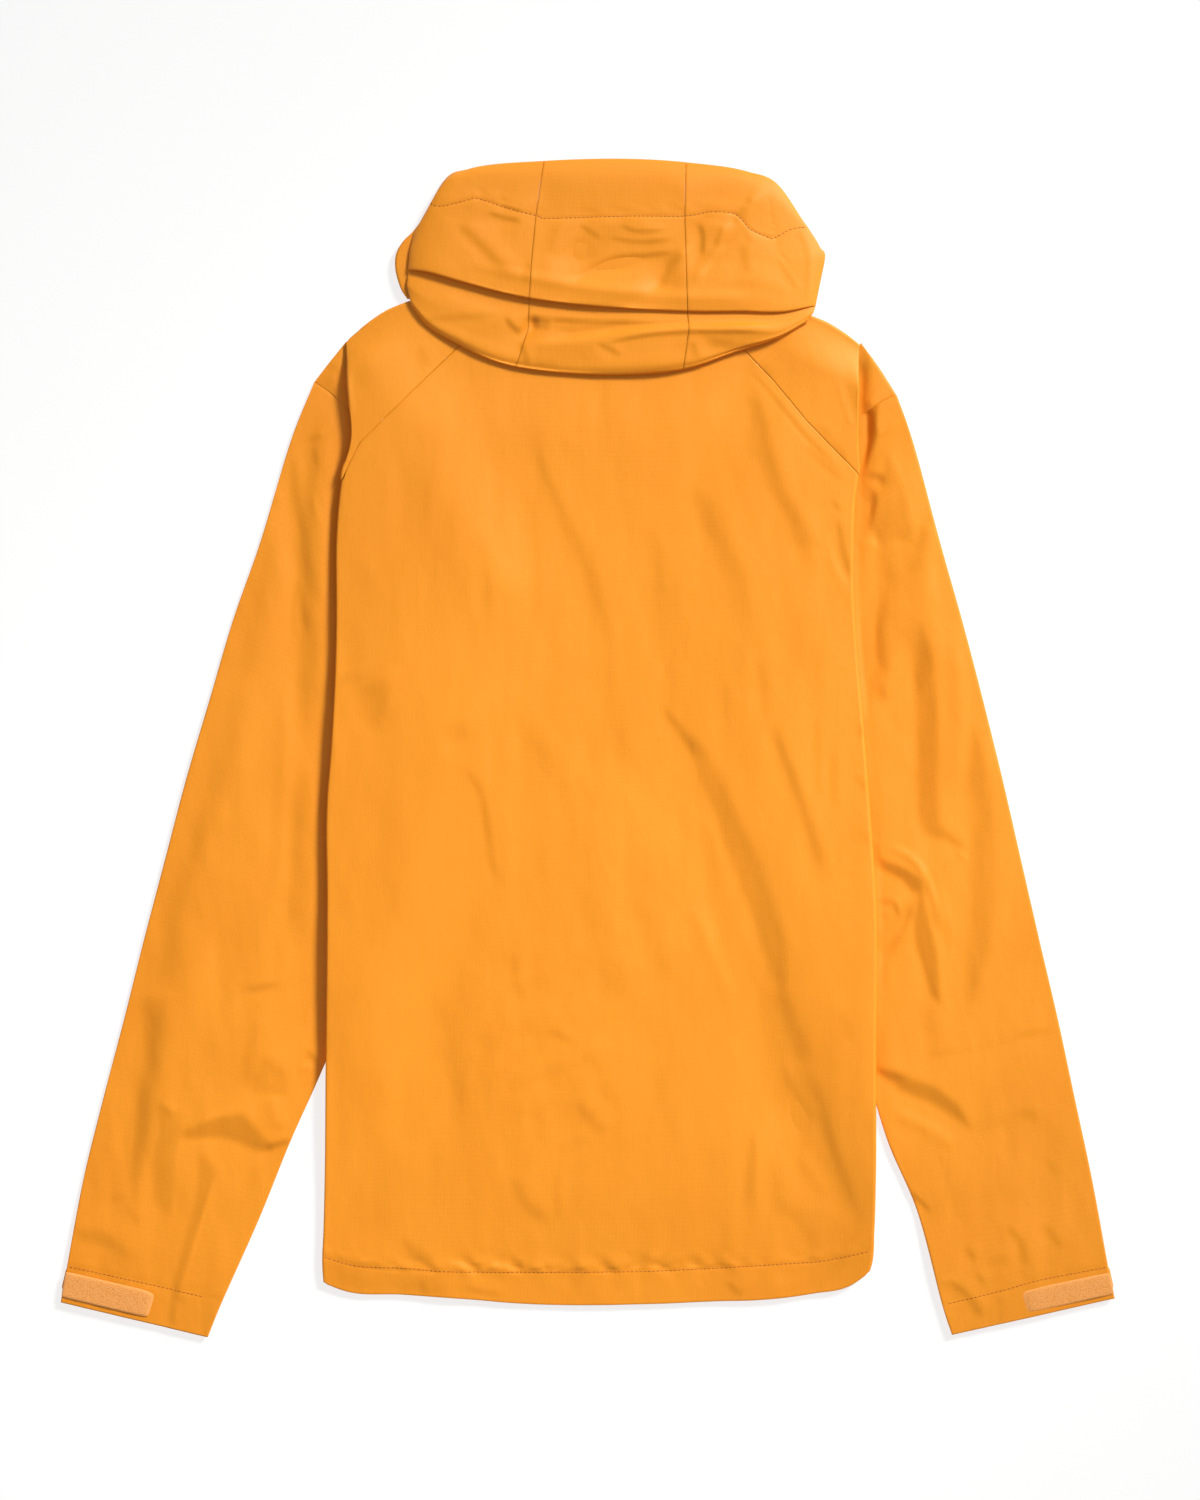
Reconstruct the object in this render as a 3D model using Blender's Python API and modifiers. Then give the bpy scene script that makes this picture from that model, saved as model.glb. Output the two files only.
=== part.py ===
"""A hooded rain jacket, laid flat with its front down.

+X is the right of the back view, +Y points to the hood, +Z is up, and the origin lies on the
surface under the middle of the whole outline. Tables and sizes are in millimetres, and the
objects are in metres.

The back panel wraps round both long edges of the body and runs on under it as a strip. The front
panels lie inside it and fold under with it. The sleeves are flattened tubes on the surface, partly
under the body, and the hood lies slumped over the neck.
"""

import math
from collections import namedtuple

import bmesh
import bpy
import numpy as np
from mathutils import Matrix, Vector

MM = 0.001

# Cloth
WALL = 1.1          # every cloth wall
LAY_GAP = 0.8       # air between two layers that lie on each other
SEAM_GAP = 0.8      # between the edges of two pieces at a seam
LAYER = WALL + LAY_GAP
HALF = WALL / 2

# Heights
SLEEVE_HIGH = 5.0   # a flattened sleeve, both walls and the air between them
BACK_LOFT = 3.05    # how far the back stands off the front in the middle of the body

# Plan sizes
CENTRE_X = 9.0      # centre line of the body
SLEEVE_RAMP = 70.0  # length over which cloth comes down beside a sleeve
STRIP_RAMP = 45.0   # length over which cloth comes down beside a folded-under strip
RAMP_CLEAR = 4.0    # level stretch before a ramp starts
ARMPIT_Y = 118.0
FADE_Y = 165.0      # above this the front lies on the surface beside the sleeve

# The body's long edges, and how far the cloth runs on under them.
Edge = namedtuple("Edge", "y left right strip")
EDGES = (
    Edge(-409, -201, 211, 75),
    Edge(-393, -202, 217, 75),
    Edge(-366, -201, 219, 76),
    Edge(-328, -200, 220, 77),
    Edge(-239, -199, 220, 80),
    Edge(-115, -198, 220, 83),
    Edge(-39, -198, 215, 86),
    Edge(-1, -195, 212, 87),
    Edge(98, -191, 204, 88),
    Edge(118, -191, 203, 84),
    Edge(155, -191, 203, 60),
    Edge(186, -189, 204, 45),
    Edge(209, -186, 207, 35),
    Edge(239, -179, 207, 25),
    Edge(263, -182, 207, 20),
    Edge(308, -185, 209, 12),
)

# The lower edge of the back, and its upper edge: raglan seams on both sides of the neck.
Station = namedtuple("Station", "x y")
HEM = (
    Station(-203, -405),
    Station(-185, -412),
    Station(-140, -415),
    Station(-84, -419),
    Station(-62, -421),
    Station(52, -422),
    Station(131, -419),
    Station(173, -414),
    Station(200, -408),
    Station(217, -396),
)
BACK_TOP = (
    Station(-186, 204),
    Station(-173, 231),
    Station(-125, 279),
    Station(-97, 306),
    Station(-89, 314),
    Station(-50, 311),
    Station(9, 309),
    Station(60, 309),
    Station(112, 311),
    Station(121, 301),
    Station(141, 280),
    Station(166, 249),
    Station(190, 224),
    Station(206, 208),
)

# A sleeve's sections, from the cuff's edge to the sleeve seam. A section runs from the outer edge
# to the inner edge, bowed towards the shoulder.
Section = namedtuple("Section", "outer_x outer_y inner_x inner_y bow high")
SLEEVES = {
    "left": (
        Section(-401, -421, -288, -448, 0, 4.6),
        Section(-396, -393, -277, -421, 0, 4.8),
        Section(-384, -328, -249, -358, 0, 5.0),
        Section(-369, -267, -226, -301, 0, 5.0),
        Section(-353, -206, -205, -254, 0, 5.0),
        Section(-338, -146, -180, -195, 0, 5.0),
        Section(-322, -85, -161, -135, 0, 5.0),
        Section(-306, -24, -142, -77, 0, 5.0),
        Section(-288, 37, -128, -25, 0, 5.0),
        Section(-270, 98, -117, 25, 2, 5.0),
        Section(-249, 158, -108, 72, 8, 5.0),
        Section(-226, 234, -103, 105, 18, 4.8),
        Section(-208, 279, -101, 120, 25, 4.6),
    ),
    "right": (
        Section(402, -418, 277, -446, 0, 4.6),
        Section(397, -394, 269, -421, 0, 4.8),
        Section(385, -328, 251, -353, 0, 5.0),
        Section(372, -267, 229, -301, 0, 5.0),
        Section(359, -206, 213, -250, 0, 5.0),
        Section(345, -146, 192, -190, 0, 5.0),
        Section(331, -85, 176, -130, 0, 5.0),
        Section(317, -24, 162, -77, 0, 5.0),
        Section(302, 37, 147, -20, 0, 5.0),
        Section(286, 98, 136, 28, 2, 5.0),
        Section(269, 158, 127, 74, 8, 5.0),
        Section(249, 232, 121, 105, 18, 4.8),
        Section(236, 269, 119, 120, 26, 4.6),
    ),
}
# The yoke's outer end, past the pleat at the armhole, from the sleeve seam to the shoulder.
YOKE_TIPS = {
    "left": (
        Section(-207.4, 279.9, -100.8, 121.4, 25, 4.6),
        Section(-197, 293.5, -106, 136, 12, 4.4),
        Section(-186.5, 306, -112, 150, 0, 4.2),
    ),
    "right": (
        Section(235.4, 269.9, 118.8, 121.4, 26, 4.6),
        Section(223.5, 289, 124, 136, 12, 4.4),
        Section(212.5, 305, 130, 150, 0, 4.2),
    ),
}

# The yokes in plan. Back is the raglan seam, ridge the top of the shoulder, front the raglan
# seam on the surface side. Each runs from the neck to the pleat.
YOKES = {
    "left": {
        "back": (
            Station(-89, 314), Station(-125, 279), Station(-150, 254), Station(-173, 231), Station(-186, 204)
        ),
        "ridge": (Station(-136, 341), Station(-153, 334), Station(-169, 323), Station(-181.5, 311)),
        "front": (Station(-88, 266), Station(-97, 226), Station(-102, 186), Station(-105.5, 146)),
    },
    "right": {
        "back": (Station(112, 311), Station(141, 280), Station(166, 249), Station(190, 224), Station(206, 208)),
        "ridge": (Station(168, 331), Station(183, 325), Station(196, 317), Station(207.5, 308)),
        "front": (Station(106, 266), Station(115, 226), Station(120, 186), Station(123.5, 146)),
    },
}
RIDGE_HIGH = 5.15   # middle of the upper wall at the top of the shoulder
RIDGE_RISE = 34.0   # length over which the yoke climbs from there to the back's height
TUCK = 14.0         # how far a yoke's pleat runs on under its edge
TUCK_FLAT = 0.12    # the pleat's share that is left where the shoulder turns over

# The hood's lengthwise path, from the brim's turned-in edge to the neck seam under the roll.
# part runs 0 at the first named line and 1 at the second, and off is added to it.
Bend = namedtuple("Bend", "start end part off z edge_z")
HOOD_PATH = (
    Bend("brim", "brim", 0.0, -14.0, 2.2, 1.9),
    Bend("brim", "brim", 0.0, -2.6, 2.0, 1.9),
    Bend("brim", "brim", 0.0, -0.6, 3.4, 2.6),
    Bend("brim", "brim", 0.0, -2.6, 4.9, 3.6),
    Bend("brim", "stitch", 0.5, 0.0, 8.0, 4.6),
    Bend("stitch", "stitch", 0.0, 0.0, 10.6, 5.0),
    Bend("stitch", "crown", 0.8, 0.0, 13.2, 5.4),
    Bend("crown", "fold", 0.64, 0.0, 14.8, 6.0),
    Bend("fold", "fold", 0.0, 1.8, 14.2, 6.6),
    Bend("fold", "fold", 0.0, 0.2, 13.0, 6.2),
    Bend("fold", "fold", 0.0, 2.2, 11.9, 5.4),
    Bend("fold", "fold", 0.0, 9.0, 11.4, 4.6),
    Bend("fold", "fold", 0.0, 10.8, 10.6, 3.8),
    Bend("fold", "fold", 0.0, 8.6, 9.7, 3.4),
    Bend("fold", "pleat", 0.35, 0.0, 10.3, 7.0),
    Bend("fold", "pleat", 1.0, 0.0, 12.0, 7.6),
    Bend("pleat", "roll", 0.3, 0.0, 11.0, 7.8),
    Bend("pleat", "roll", 0.7, 0.0, 11.4, 7.8),
    Bend("roll", "roll", 0.0, 2.4, 10.6, 7.6),
    Bend("roll", "roll", 0.0, 0.6, 9.0, 7.2),
    Bend("roll", "roll", 0.0, 2.6, 7.4, 6.9),
    Bend("roll", "neck", 1.0, 0.0, 6.9, 6.8),
)
# The lines that the path runs between, each read at the same shares of the hood's width, two of
# which are its lengthwise seams.
HOOD_SHARES = (0.0, 0.07, 0.17, 0.36, 0.68, 0.82, 0.93, 1.0)
HOOD_SEAMS = (0.36, 0.68)
HOOD_LINES = {
    "brim": ((-124, 406), (-109, 432), (-90, 441), (-33, 447), (75, 446), (122, 439), (147, 427), (165, 401)),
    "stitch": ((-133, 390), (-115, 412), (-85, 417), (-39, 404), (74, 404), (112, 405), (140, 388), (174, 387)),
    "crown": ((-144, 378), (-121, 386), (-91, 386), (-40, 373), (75, 368), (116, 370), (150, 366), (181, 374)),
    "fold": ((-144, 366), (-125, 362), (-97, 355), (-41, 342), (76, 332), (118, 332), (152, 332), (174, 337)),
    "pleat": ((-141, 352), (-122, 342), (-92, 331), (-45, 319), (77, 318), (118, 317), (148, 318), (172, 331)),
    "roll": ((-135, 337), (-122, 322), (-98, 307), (-54, 290), (73, 288), (113, 301), (148, 313), (167, 324)),
    "neck": ((-118, 339), (-105, 330), (-86, 321), (-50, 312), (70, 311), (104, 316), (130, 326), (152, 336)),
}
HOOD_SPLIT = 0.0015  # half the gap at a lengthwise seam, as a share of the width
HOOD_EDGE = 0.16    # share of the width over which each side of the hood comes down

# Collar, zip and the hump over its slider
COLLAR_LIP = 380.0
COLLAR_SIDE = {"left": -139.0, "right": 173.0}
FRONT_NECK_Y = 257.0
ZIP_SLOT = 5.0       # half the slot between the front edges
TAPE_HALF = 16.0
TAPE_Z = 2.05
TAPE_WALL = 0.7
CHAIN_HALF = 3.0
CHAIN_Z = 3.2
CHAIN_WALL = 1.0
ZIP_TOP = 362.0
HUMP_Y = 356.0
HUMP_REACH_X = 62.0
HUMP_REACH_Y = 54.0
HUMP_HIGH = 3.0

SLIDER = {"wide": 9.0, "long": 9.5, "low": 2.9, "high": 6.8, "bevel": 0.7}
LUG = {"inner": 1.5, "wide": 1.0, "long": 2.4, "low": 0.4}
PIN_Z = 1.35
PIN_RADIUS = 0.45
PULL = {"hub": 1.2, "hole": 0.75, "hub_wide": 2.4, "wide": 5.0, "long": 24.0, "thick": 1.1}
PULL_NECK = 3.2      # from the pin to the wide part of the tab

# Cuffs
PATCH_LONG = 68.0
PATCH_GAP = 0.35
PATCH_WALL = 1.0
PATCH_FROM = 0.16    # shares of the stretch between the cuff's edge and its stitch line
PATCH_TO = 0.9
PATCH_START = 0.25   # how far round the cuff's outer edge the patch starts
TAB_LONG = 66.0
TAB_WIDE = 20.0
TAB_WALL = 1.1
TAB_ROW = 0.62       # its middle, between the cuff's edge and its stitch line
TAB_SHOWS = 1.2      # how far its tip stands out past the cuff's outer edge
TAB_CORNER = 4.0
CUFF_LIFT = 1.7      # the cuff rests on its tab
CUFF_RAMP = 60.0

# The largest soft folds of the back: a ridge where high is positive, a trough where negative.
Fold = namedtuple("Fold", "x1 y1 x2 y2 wide high")
BACK_FOLDS = (
    Fold(-48, 252, 18, 98, 24, -0.9),
    Fold(18, 98, 80, -10, 22, -0.9),
    Fold(55, 40, 118, -60, 20, 2.2),
    Fold(118, -60, 165, -190, 22, 2.0),
    Fold(132, -90, 178, -215, 16, -0.9),
    Fold(178, -215, 205, -340, 16, -0.9),
    Fold(118, 262, 152, 170, 22, -0.9),
    Fold(152, 170, 190, 122, 20, -0.9),
    Fold(-150, 90, -128, 20, 20, 1.4),
    Fold(-120, -60, -95, -180, 26, -0.9),
    Fold(-20, -190, -8, -300, 26, -0.9),
    Fold(60, -330, 40, -385, 18, 1.2),
)

# The largest soft folds of the sleeves' upper side.
SLEEVE_FOLDS = (
    Fold(-313, -126, -334, -235, 20, -1.2),
    Fold(-334, -235, -356, -340, 18, -1.2),
    Fold(-292, -318, -286, -390, 18, 1.6),
    Fold(-312, -291, -262, -279, 16, 1.6),
    Fold(232, -258, 292, -290, 17, -1.3),
    Fold(262, -215, 300, -240, 18, 1.6),
    Fold(252, -100, 265, -190, 17, -1.2),
    Fold(300, -330, 330, -375, 18, 1.4),
)

COLOURS = {
    "shell": (0.93, 0.38, 0.04, 1.0),
    "patch": (0.86, 0.40, 0.10, 1.0),
    "zip": (0.60, 0.23, 0.03, 1.0),
    "metal": (0.45, 0.42, 0.38, 1.0),
}
ROUGHNESS = {"shell": 0.6, "patch": 0.95, "zip": 0.6, "metal": 0.35}


def smooth_step(value):
    value = min(max(value, 0.0), 1.0)
    return value * value * (3 - 2 * value)


def lerp(first, second, share):
    return first + (second - first) * share


def along(rows, key, value, wanted):
    """The wanted column of a table, read at a value of its key column."""
    keys = [getattr(row, key) for row in rows]
    values = [getattr(row, wanted) for row in rows]
    if keys[0] > keys[-1]:
        keys.reverse()
        values.reverse()
    return float(np.interp(value, keys, values))


def inner_edge(side, y):
    """Where the sleeve, and above it the yoke's outer end, stop under the body."""
    end = YOKE_TIPS[side][-1]
    line = [Station(row.inner_x, row.inner_y) for row in SLEEVES[side] + (end,)]
    return along(line + [Station(end.outer_x, end.outer_y)], "y", y, "x")


def sleeve_cover(x, y):
    """1 over a sleeve, falling to 0 beside it."""
    left = (x - inner_edge("left", y) - RAMP_CLEAR) / SLEEVE_RAMP
    right = (inner_edge("right", y) - x - RAMP_CLEAR) / SLEEVE_RAMP
    return 1 - smooth_step(min(left, right))


def strip_cover(x, y):
    """1 over the strips folded under the body's edges, falling to 0 beside them."""
    reach = along(EDGES, "y", y, "strip") + RAMP_CLEAR
    left = (x - along(EDGES, "y", y, "left") - reach) / STRIP_RAMP
    right = (along(EDGES, "y", y, "right") - x - reach) / STRIP_RAMP
    return 1 - smooth_step(min(left, right))


def hump(x, y):
    """How far the cloth by the zip is lifted by its slider and pull tab."""
    reach = math.hypot((x - CENTRE_X) / HUMP_REACH_X, (y - HUMP_Y) / HUMP_REACH_Y)
    return HUMP_HIGH * (1 - smooth_step((reach - 0.35) / 0.65))


def soft_folds(x, y, folds):
    height = 0.0
    for fold in folds:
        run = Vector((fold.x2 - fold.x1, fold.y2 - fold.y1))
        to_point = Vector((x - fold.x1, y - fold.y1))
        share = to_point.dot(run) / run.length_squared
        away = abs(to_point.cross(run)) / run.length
        ends = smooth_step((share + 0.25) / 0.5) * smooth_step((1.25 - share) / 0.5)
        height += fold.high * ends * math.exp(-((away / fold.wide) ** 2) * 2)
    return height


def strip_level(x, y):
    return HALF + (SLEEVE_HIGH + LAY_GAP) * sleeve_cover(x, y)


def front_level(x, y):
    fade = 1 - smooth_step((y - ARMPIT_Y) / (FADE_Y - ARMPIT_Y))
    over_sleeve = (SLEEVE_HIGH + LAY_GAP) * sleeve_cover(x, y) * fade
    return HALF + over_sleeve + 2 * LAYER * strip_cover(x, y)


def back_level(x, y):
    strips = strip_cover(x, y)
    base = strip_level(x, y) + 2 * LAYER * strips + LAYER + BACK_LOFT * (1 - strips)
    folds = soft_folds(x, y, BACK_FOLDS)
    return base + (folds if folds > 0 else folds * (1 - strips))


def material(name):
    made = bpy.data.materials.get(name) or bpy.data.materials.new(name)
    made.use_nodes = True
    shader = made.node_tree.nodes["Principled BSDF"]
    shader.inputs["Base Color"].default_value = COLOURS[name]
    shader.inputs["Roughness"].default_value = ROUGHNESS[name]
    shader.inputs["Metallic"].default_value = 1.0 if name == "metal" else 0.0
    return made


def add_object(name, bm, finish, location=(0, 0, 0)):
    mesh = bpy.data.meshes.new(name)
    bm.to_mesh(mesh)
    bm.free()
    mesh.materials.append(material(finish))
    made = bpy.data.objects.new(name, mesh)
    made.location = Vector(location) * MM
    bpy.data.collections["rain_jacket"].objects.link(made)
    return made


def cloth(name, columns, rows, place, finish="shell", wall=WALL, tube=False, cut=None, even=True):
    """A wall of cloth: a grid put in place point by point, then thickened evenly both ways."""
    bm = bmesh.new()
    bmesh.ops.create_grid(bm, x_segments=columns, y_segments=rows, size=0.5)
    if cut:
        gone = [face for face in bm.faces if cut(*(face.calc_center_median().xy + Vector((0.5, 0.5))))]
        bmesh.ops.delete(bm, geom=gone, context="FACES")
    for vert in bm.verts:
        vert.co = Vector(place(vert.co.x + 0.5, vert.co.y + 0.5)) * MM
    if tube:
        bmesh.ops.remove_doubles(bm, verts=bm.verts, dist=0.00001)
    made = add_object(name, bm, finish)
    thicken = made.modifiers.new("wall", "SOLIDIFY")
    thicken.thickness = wall * MM
    thicken.offset = 0
    thicken.use_even_offset = even
    return made


def stretches(share, *counts):
    """Splits 0 to 1 into stretches of so many grid cells each: which one, and how far along it."""
    cell = share * sum(counts)
    for index, count in enumerate(counts):
        if cell <= count + 1e-6 or index == len(counts) - 1:
            return index, min(cell / count, 1.0)
        cell -= count


def rolled(edge_x, inward, low, high, turn):
    """A point of a fold whose outermost side is at edge_x: turn 0 is its foot, 1 its top."""
    radius = (high - low) / 2
    angle = math.pi * turn
    x = edge_x + inward * (HALF + radius * (1 - math.sin(angle)))
    return x, (low + high) / 2 - radius * math.cos(angle)


def settle(share, v):
    """The point at a share of the back's width, in the grid's row v."""
    row, up = stretches(v, *BODY_ROWS)
    y = 0.0
    for _ in range(6):
        x = lerp(along(EDGES, "y", y, "left"), along(EDGES, "y", y, "right"), share)
        if row == 0:
            y = lerp(along(HEM, "x", x, "y"), ARMPIT_Y, up)
        else:
            y = lerp(ARMPIT_Y, along(BACK_TOP, "x", x, "y"), up)
    return x, y


BACK_CELLS = (3, 5, 20, 5, 3)
BODY_ROWS = (13, 5)
BACK_INSET = 0.0075  # share of the width that each rounded edge takes
BACK_CROWD = 0.07    # how much closer the grid's columns lie towards both edges


def back_point(u, v):
    part, share = stretches(u, *BACK_CELLS)
    if part == 2:
        share -= BACK_CROWD * math.sin(2 * math.pi * share)
        x, y = settle(lerp(BACK_INSET, 1 - BACK_INSET, share), v)
        return x, y, back_level(x, y)
    right = part > 2
    x, y = settle(1.0 if right else 0.0, v)
    inward = -1 if right else 1
    strip = along(EDGES, "y", y, "strip")
    under = strip_level(x, y)
    over = back_level(x, y)
    if part in (1, 3):
        turn = share if part == 1 else 1 - share
        x, z = rolled(x, inward, under, over, turn)
        return x, y, z
    reach = 1 - share if part == 0 else share
    x += inward * lerp(HALF + (over - under) / 2, strip, reach)
    return x, y, strip_level(x, y)


FRONT_INNER = 8
FRONT_OUTER = (5, 4, 3)


def front_panel(side):
    inward = 1 if side == "left" else -1
    cells = (FRONT_INNER,) + FRONT_OUTER
    share_up = BODY_ROWS[0] / sum(BODY_ROWS)
    share_in = FRONT_INNER / sum(cells)
    zip_x = CENTRE_X - inward * ZIP_SLOT
    seam = YOKES[side]["front"]

    def height_at(x, row, share, top):
        hem = along(HEM, "x", x, "y") + 2
        return lerp(hem, ARMPIT_Y, share) if row == 0 else lerp(ARMPIT_Y, top, share)

    def place(u, v):
        part, share = stretches(u, *cells)
        row, up = stretches(v, *BODY_ROWS)
        if part == 0:
            y = height_at(lerp(zip_x, seam[0].x, share), row, up, lerp(FRONT_NECK_Y, seam[0].y, share))
            limit = inner_edge(side, ARMPIT_Y) + inward * 2
            if y > ARMPIT_Y:
                limit = along(seam, "y", y, "x") + inward * SEAM_GAP
                limit = lerp(inner_edge(side, ARMPIT_Y) + inward * 2, limit, smooth_step((y - ARMPIT_Y) / 28))
            x = lerp(zip_x, limit, share)
            return x, y, front_level(x, y) + hump(x, y)
        y = height_at(along(EDGES, "y", 0, side), row, up, 0)
        edge = along(EDGES, "y", y, side)
        strip_z = strip_level(edge, y) + LAYER
        over = strip_z + LAYER
        back_radius = (over + LAYER - strip_level(edge, y)) / 2
        radius = LAYER / 2
        fold_x = edge + inward * (back_radius - radius)
        middle_x = fold_x + inward * (HALF + radius)
        if part == 1:
            limit = inner_edge(side, ARMPIT_Y) + inward * 2
            x = lerp(limit, middle_x, share)
            return x, y, front_level(x, y)
        if part == 2:
            x, z = rolled(fold_x, inward, strip_z, over, 1 - share)
            return x, y, z
        strip = along(EDGES, "y", y, "strip") - 1
        x = lerp(middle_x, edge + inward * strip, share)
        return x, y, strip_level(x, y) + LAYER

    def armhole(u, v):
        return u > share_in and v > share_up

    return cloth(f"front_{side}", sum(cells), sum(BODY_ROWS), place, cut=armhole)


def section_point(rows, index, around, out=0.0, lift=None):
    """A point of a flattened tube: around runs 0 to 1 from the middle of the outer edge, over the
    top, round the inner edge and back underneath. index is a row, or a place between two."""
    def read(name):
        return float(np.interp(index, range(len(rows)), [getattr(row, name) for row in rows]))

    outer = Vector((read("outer_x"), read("outer_y")))
    inner = Vector((read("inner_x"), read("inner_y")))
    radius = (read("high") - WALL) / 2
    across = inner - outer
    wide = across.length
    across.normalize()
    flat = wide - 2 * (HALF + radius)
    low = HALF + (lift(outer) if lift else 0.0)
    middle = low + radius
    reach = radius + out
    marks = np.cumsum((0,) + TUBE_SHARES)
    part = min(int(np.searchsorted(marks, around, side="right")) - 1, 4)
    share = (around - marks[part]) / TUBE_SHARES[part]
    if part == 0:
        angle = math.pi / 2 * share
        run, z = HALF + radius - reach * math.cos(angle), middle + reach * math.sin(angle)
    elif part == 1:
        run, z = HALF + radius + flat * share, middle + reach
    elif part == 2:
        angle = math.pi * share
        run, z = HALF + radius + flat + reach * math.sin(angle), middle + reach * math.cos(angle)
    elif part == 3:
        run, z = HALF + radius + flat * (1 - share), middle - reach
    else:
        angle = math.pi / 2 * share
        run, z = HALF + radius - reach * math.sin(angle), middle - reach * math.cos(angle)
    spot = outer + across * run
    share = min(max(run / wide, 0.0), 1.0)
    if part == 1:
        z += soft_folds(spot.x, spot.y, SLEEVE_FOLDS) * smooth_step(min(share, 1 - share) * 8)
    return spot.x, spot.y + read("bow") * 4 * share * (1 - share), z


TUBE_CELLS = (2, 7, 4, 4, 2)
TUBE_SHARES = tuple(count / sum(TUBE_CELLS) for count in TUBE_CELLS)
SLEEVE_ROWS = 22


def cuff_lift(side):
    cuff = Vector(SLEEVES[side][0][:2])

    def lift(outer):
        return CUFF_LIFT * (1 - smooth_step(((outer - cuff).length - 32) / CUFF_RAMP))

    return lift


def sleeve(side):
    rows = SLEEVES[side]

    def place(u, v):
        return section_point(rows, v * (len(rows) - 1), u % 1.0, lift=cuff_lift(side))

    return cloth(f"sleeve_{side}", sum(TUBE_CELLS), SLEEVE_ROWS, place, tube=True)


def yoke_tip(side):
    rows = YOKE_TIPS[side]

    def place(u, v):
        return section_point(rows, v * (len(rows) - 1), u % 1.0)

    return cloth(f"yoke_tip_{side}", sum(TUBE_CELLS), 3, place, tube=True, even=False)


def cuff_patch(side):
    """The loop patch on the back of the cuff, made from the sleeve's points, moved out."""
    rows = SLEEVES[side]
    cuff_wide = (Vector(rows[0][:2]) - Vector(rows[0][2:4])).length
    last = TUBE_SHARES[0] + TUBE_SHARES[1] * PATCH_LONG / cuff_wide
    out = WALL / 2 + PATCH_GAP + PATCH_WALL / 2

    def place(u, v):
        around = lerp(TUBE_SHARES[0] * PATCH_START, last, u)
        return section_point(rows, lerp(PATCH_FROM, PATCH_TO, v), around, out, cuff_lift(side))

    return cloth(f"cuff_patch_{side}", 8, 3, place, "patch", PATCH_WALL)


def cuff_tab(side):
    """The tab on the front of the cuff, flat on the surface, its tip at the cuff's outer edge."""
    rows = SLEEVES[side]
    outer = Vector(section_point(rows, TAB_ROW, 0.0)[:2])
    inner = Vector(section_point(rows, TAB_ROW, TUBE_SHARES[0] + TUBE_SHARES[1])[:2])
    run = (inner - outer).normalized()
    middle = outer + run * (TAB_LONG / 2 - TAB_SHOWS)
    bm = bmesh.new()
    bmesh.ops.create_cube(bm, size=1.0)
    bmesh.ops.scale(bm, vec=Vector((TAB_LONG, TAB_WIDE, TAB_WALL)) * MM, verts=bm.verts)
    upright = [edge for edge in bm.edges if abs(edge.verts[0].co.z - edge.verts[1].co.z) > TAB_WALL * MM / 2]
    bmesh.ops.bevel(
        bm, geom=upright, offset=TAB_CORNER * MM, segments=4, profile=0.5, affect="EDGES", material=-1
    )
    made = add_object(f"cuff_tab_{side}", bm, "shell", (middle.x, middle.y, TAB_WALL / 2))
    made.rotation_euler.z = math.atan2(run.y, run.x)
    return made


YOKE_CELLS = (8, 4, 2)
YOKE_ROWS = (5, 4, 4)


def yoke(side):
    """From the back raglan seam over the shoulder to the front one, with the pleat's first turn."""
    plan = YOKES[side]
    outward = Vector((-1, 0)) if side == "left" else Vector((1, 0))

    def line(name, share):
        marks = np.linspace(0, 1, len(plan[name]))
        return Vector((
            float(np.interp(share, marks, [spot.x for spot in plan[name]])),
            float(np.interp(share, marks, [spot.y for spot in plan[name]])),
        ))

    def shell_point(share, v):
        """A point of the yoke proper, the direction to its inside, and how far it is from the ridge."""
        part, up = stretches(v, *YOKE_ROWS)
        back, ridge, front = line("back", share), line("ridge", share), line("front", share)
        over = (ridge - back).normalized()
        back = back + over * SEAM_GAP
        radius = (RIDGE_HIGH - HALF) / 2
        turn = ridge - over * (HALF + radius)
        if part == 0:
            spot = back.lerp(turn, up)
            away = (turn - spot).length
            z = lerp(RIDGE_HIGH, back_level(spot.x, spot.y), smooth_step(away / RIDGE_RISE))
            edge = along(EDGES, "y", spot.y, side)
            spot.x += (edge - outward.x * (HALF + 1.5) - spot.x) * share ** 6
            return Vector((spot.x, spot.y, z)), Vector((0, 0, -1)), away
        if part == 1:
            angle = math.pi * up
            flat = turn + over * radius * math.sin(angle)
            z = HALF + radius + radius * math.cos(angle)
            inside = Vector((-over.x * math.sin(angle), -over.y * math.sin(angle), -math.cos(angle)))
            return Vector((flat.x, flat.y, z)), inside, 0.0
        spot = turn.lerp(front, up)
        return Vector((spot.x, spot.y, HALF)), Vector((0, 0, 1)), 0.0

    def place(u, v):
        part, share = stretches(u, *YOKE_CELLS)
        if part == 0:
            return shell_point(share, v)[0]
        spot, inside, away = shell_point(1.0, v)
        drop = max(spot.z - strip_level(spot.x, spot.y), 1.4) / 2
        pleat = lerp(TUCK_FLAT, 1.0, smooth_step((away - 3) / RIDGE_RISE))
        side_way = Vector((outward.x, outward.y, 0))
        angle = math.pi * pleat * (share if part == 1 else 1.0)
        spot = spot + side_way * drop * math.sin(angle) + inside * drop * (1 - math.cos(angle))
        if part == 2:
            spot += (side_way * math.cos(angle) + inside * math.sin(angle)) * TUCK * share * pleat ** 3
        return spot

    return cloth(f"yoke_{side}", sum(YOKE_CELLS), sum(YOKE_ROWS), place)


def hood_line(name, share):
    xs = [spot[0] for spot in HOOD_LINES[name]]
    ys = [spot[1] for spot in HOOD_LINES[name]]
    return Vector((
        float(np.interp(share, HOOD_SHARES, xs)),
        float(np.interp(share, HOOD_SHARES, ys)),
    ))


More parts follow.
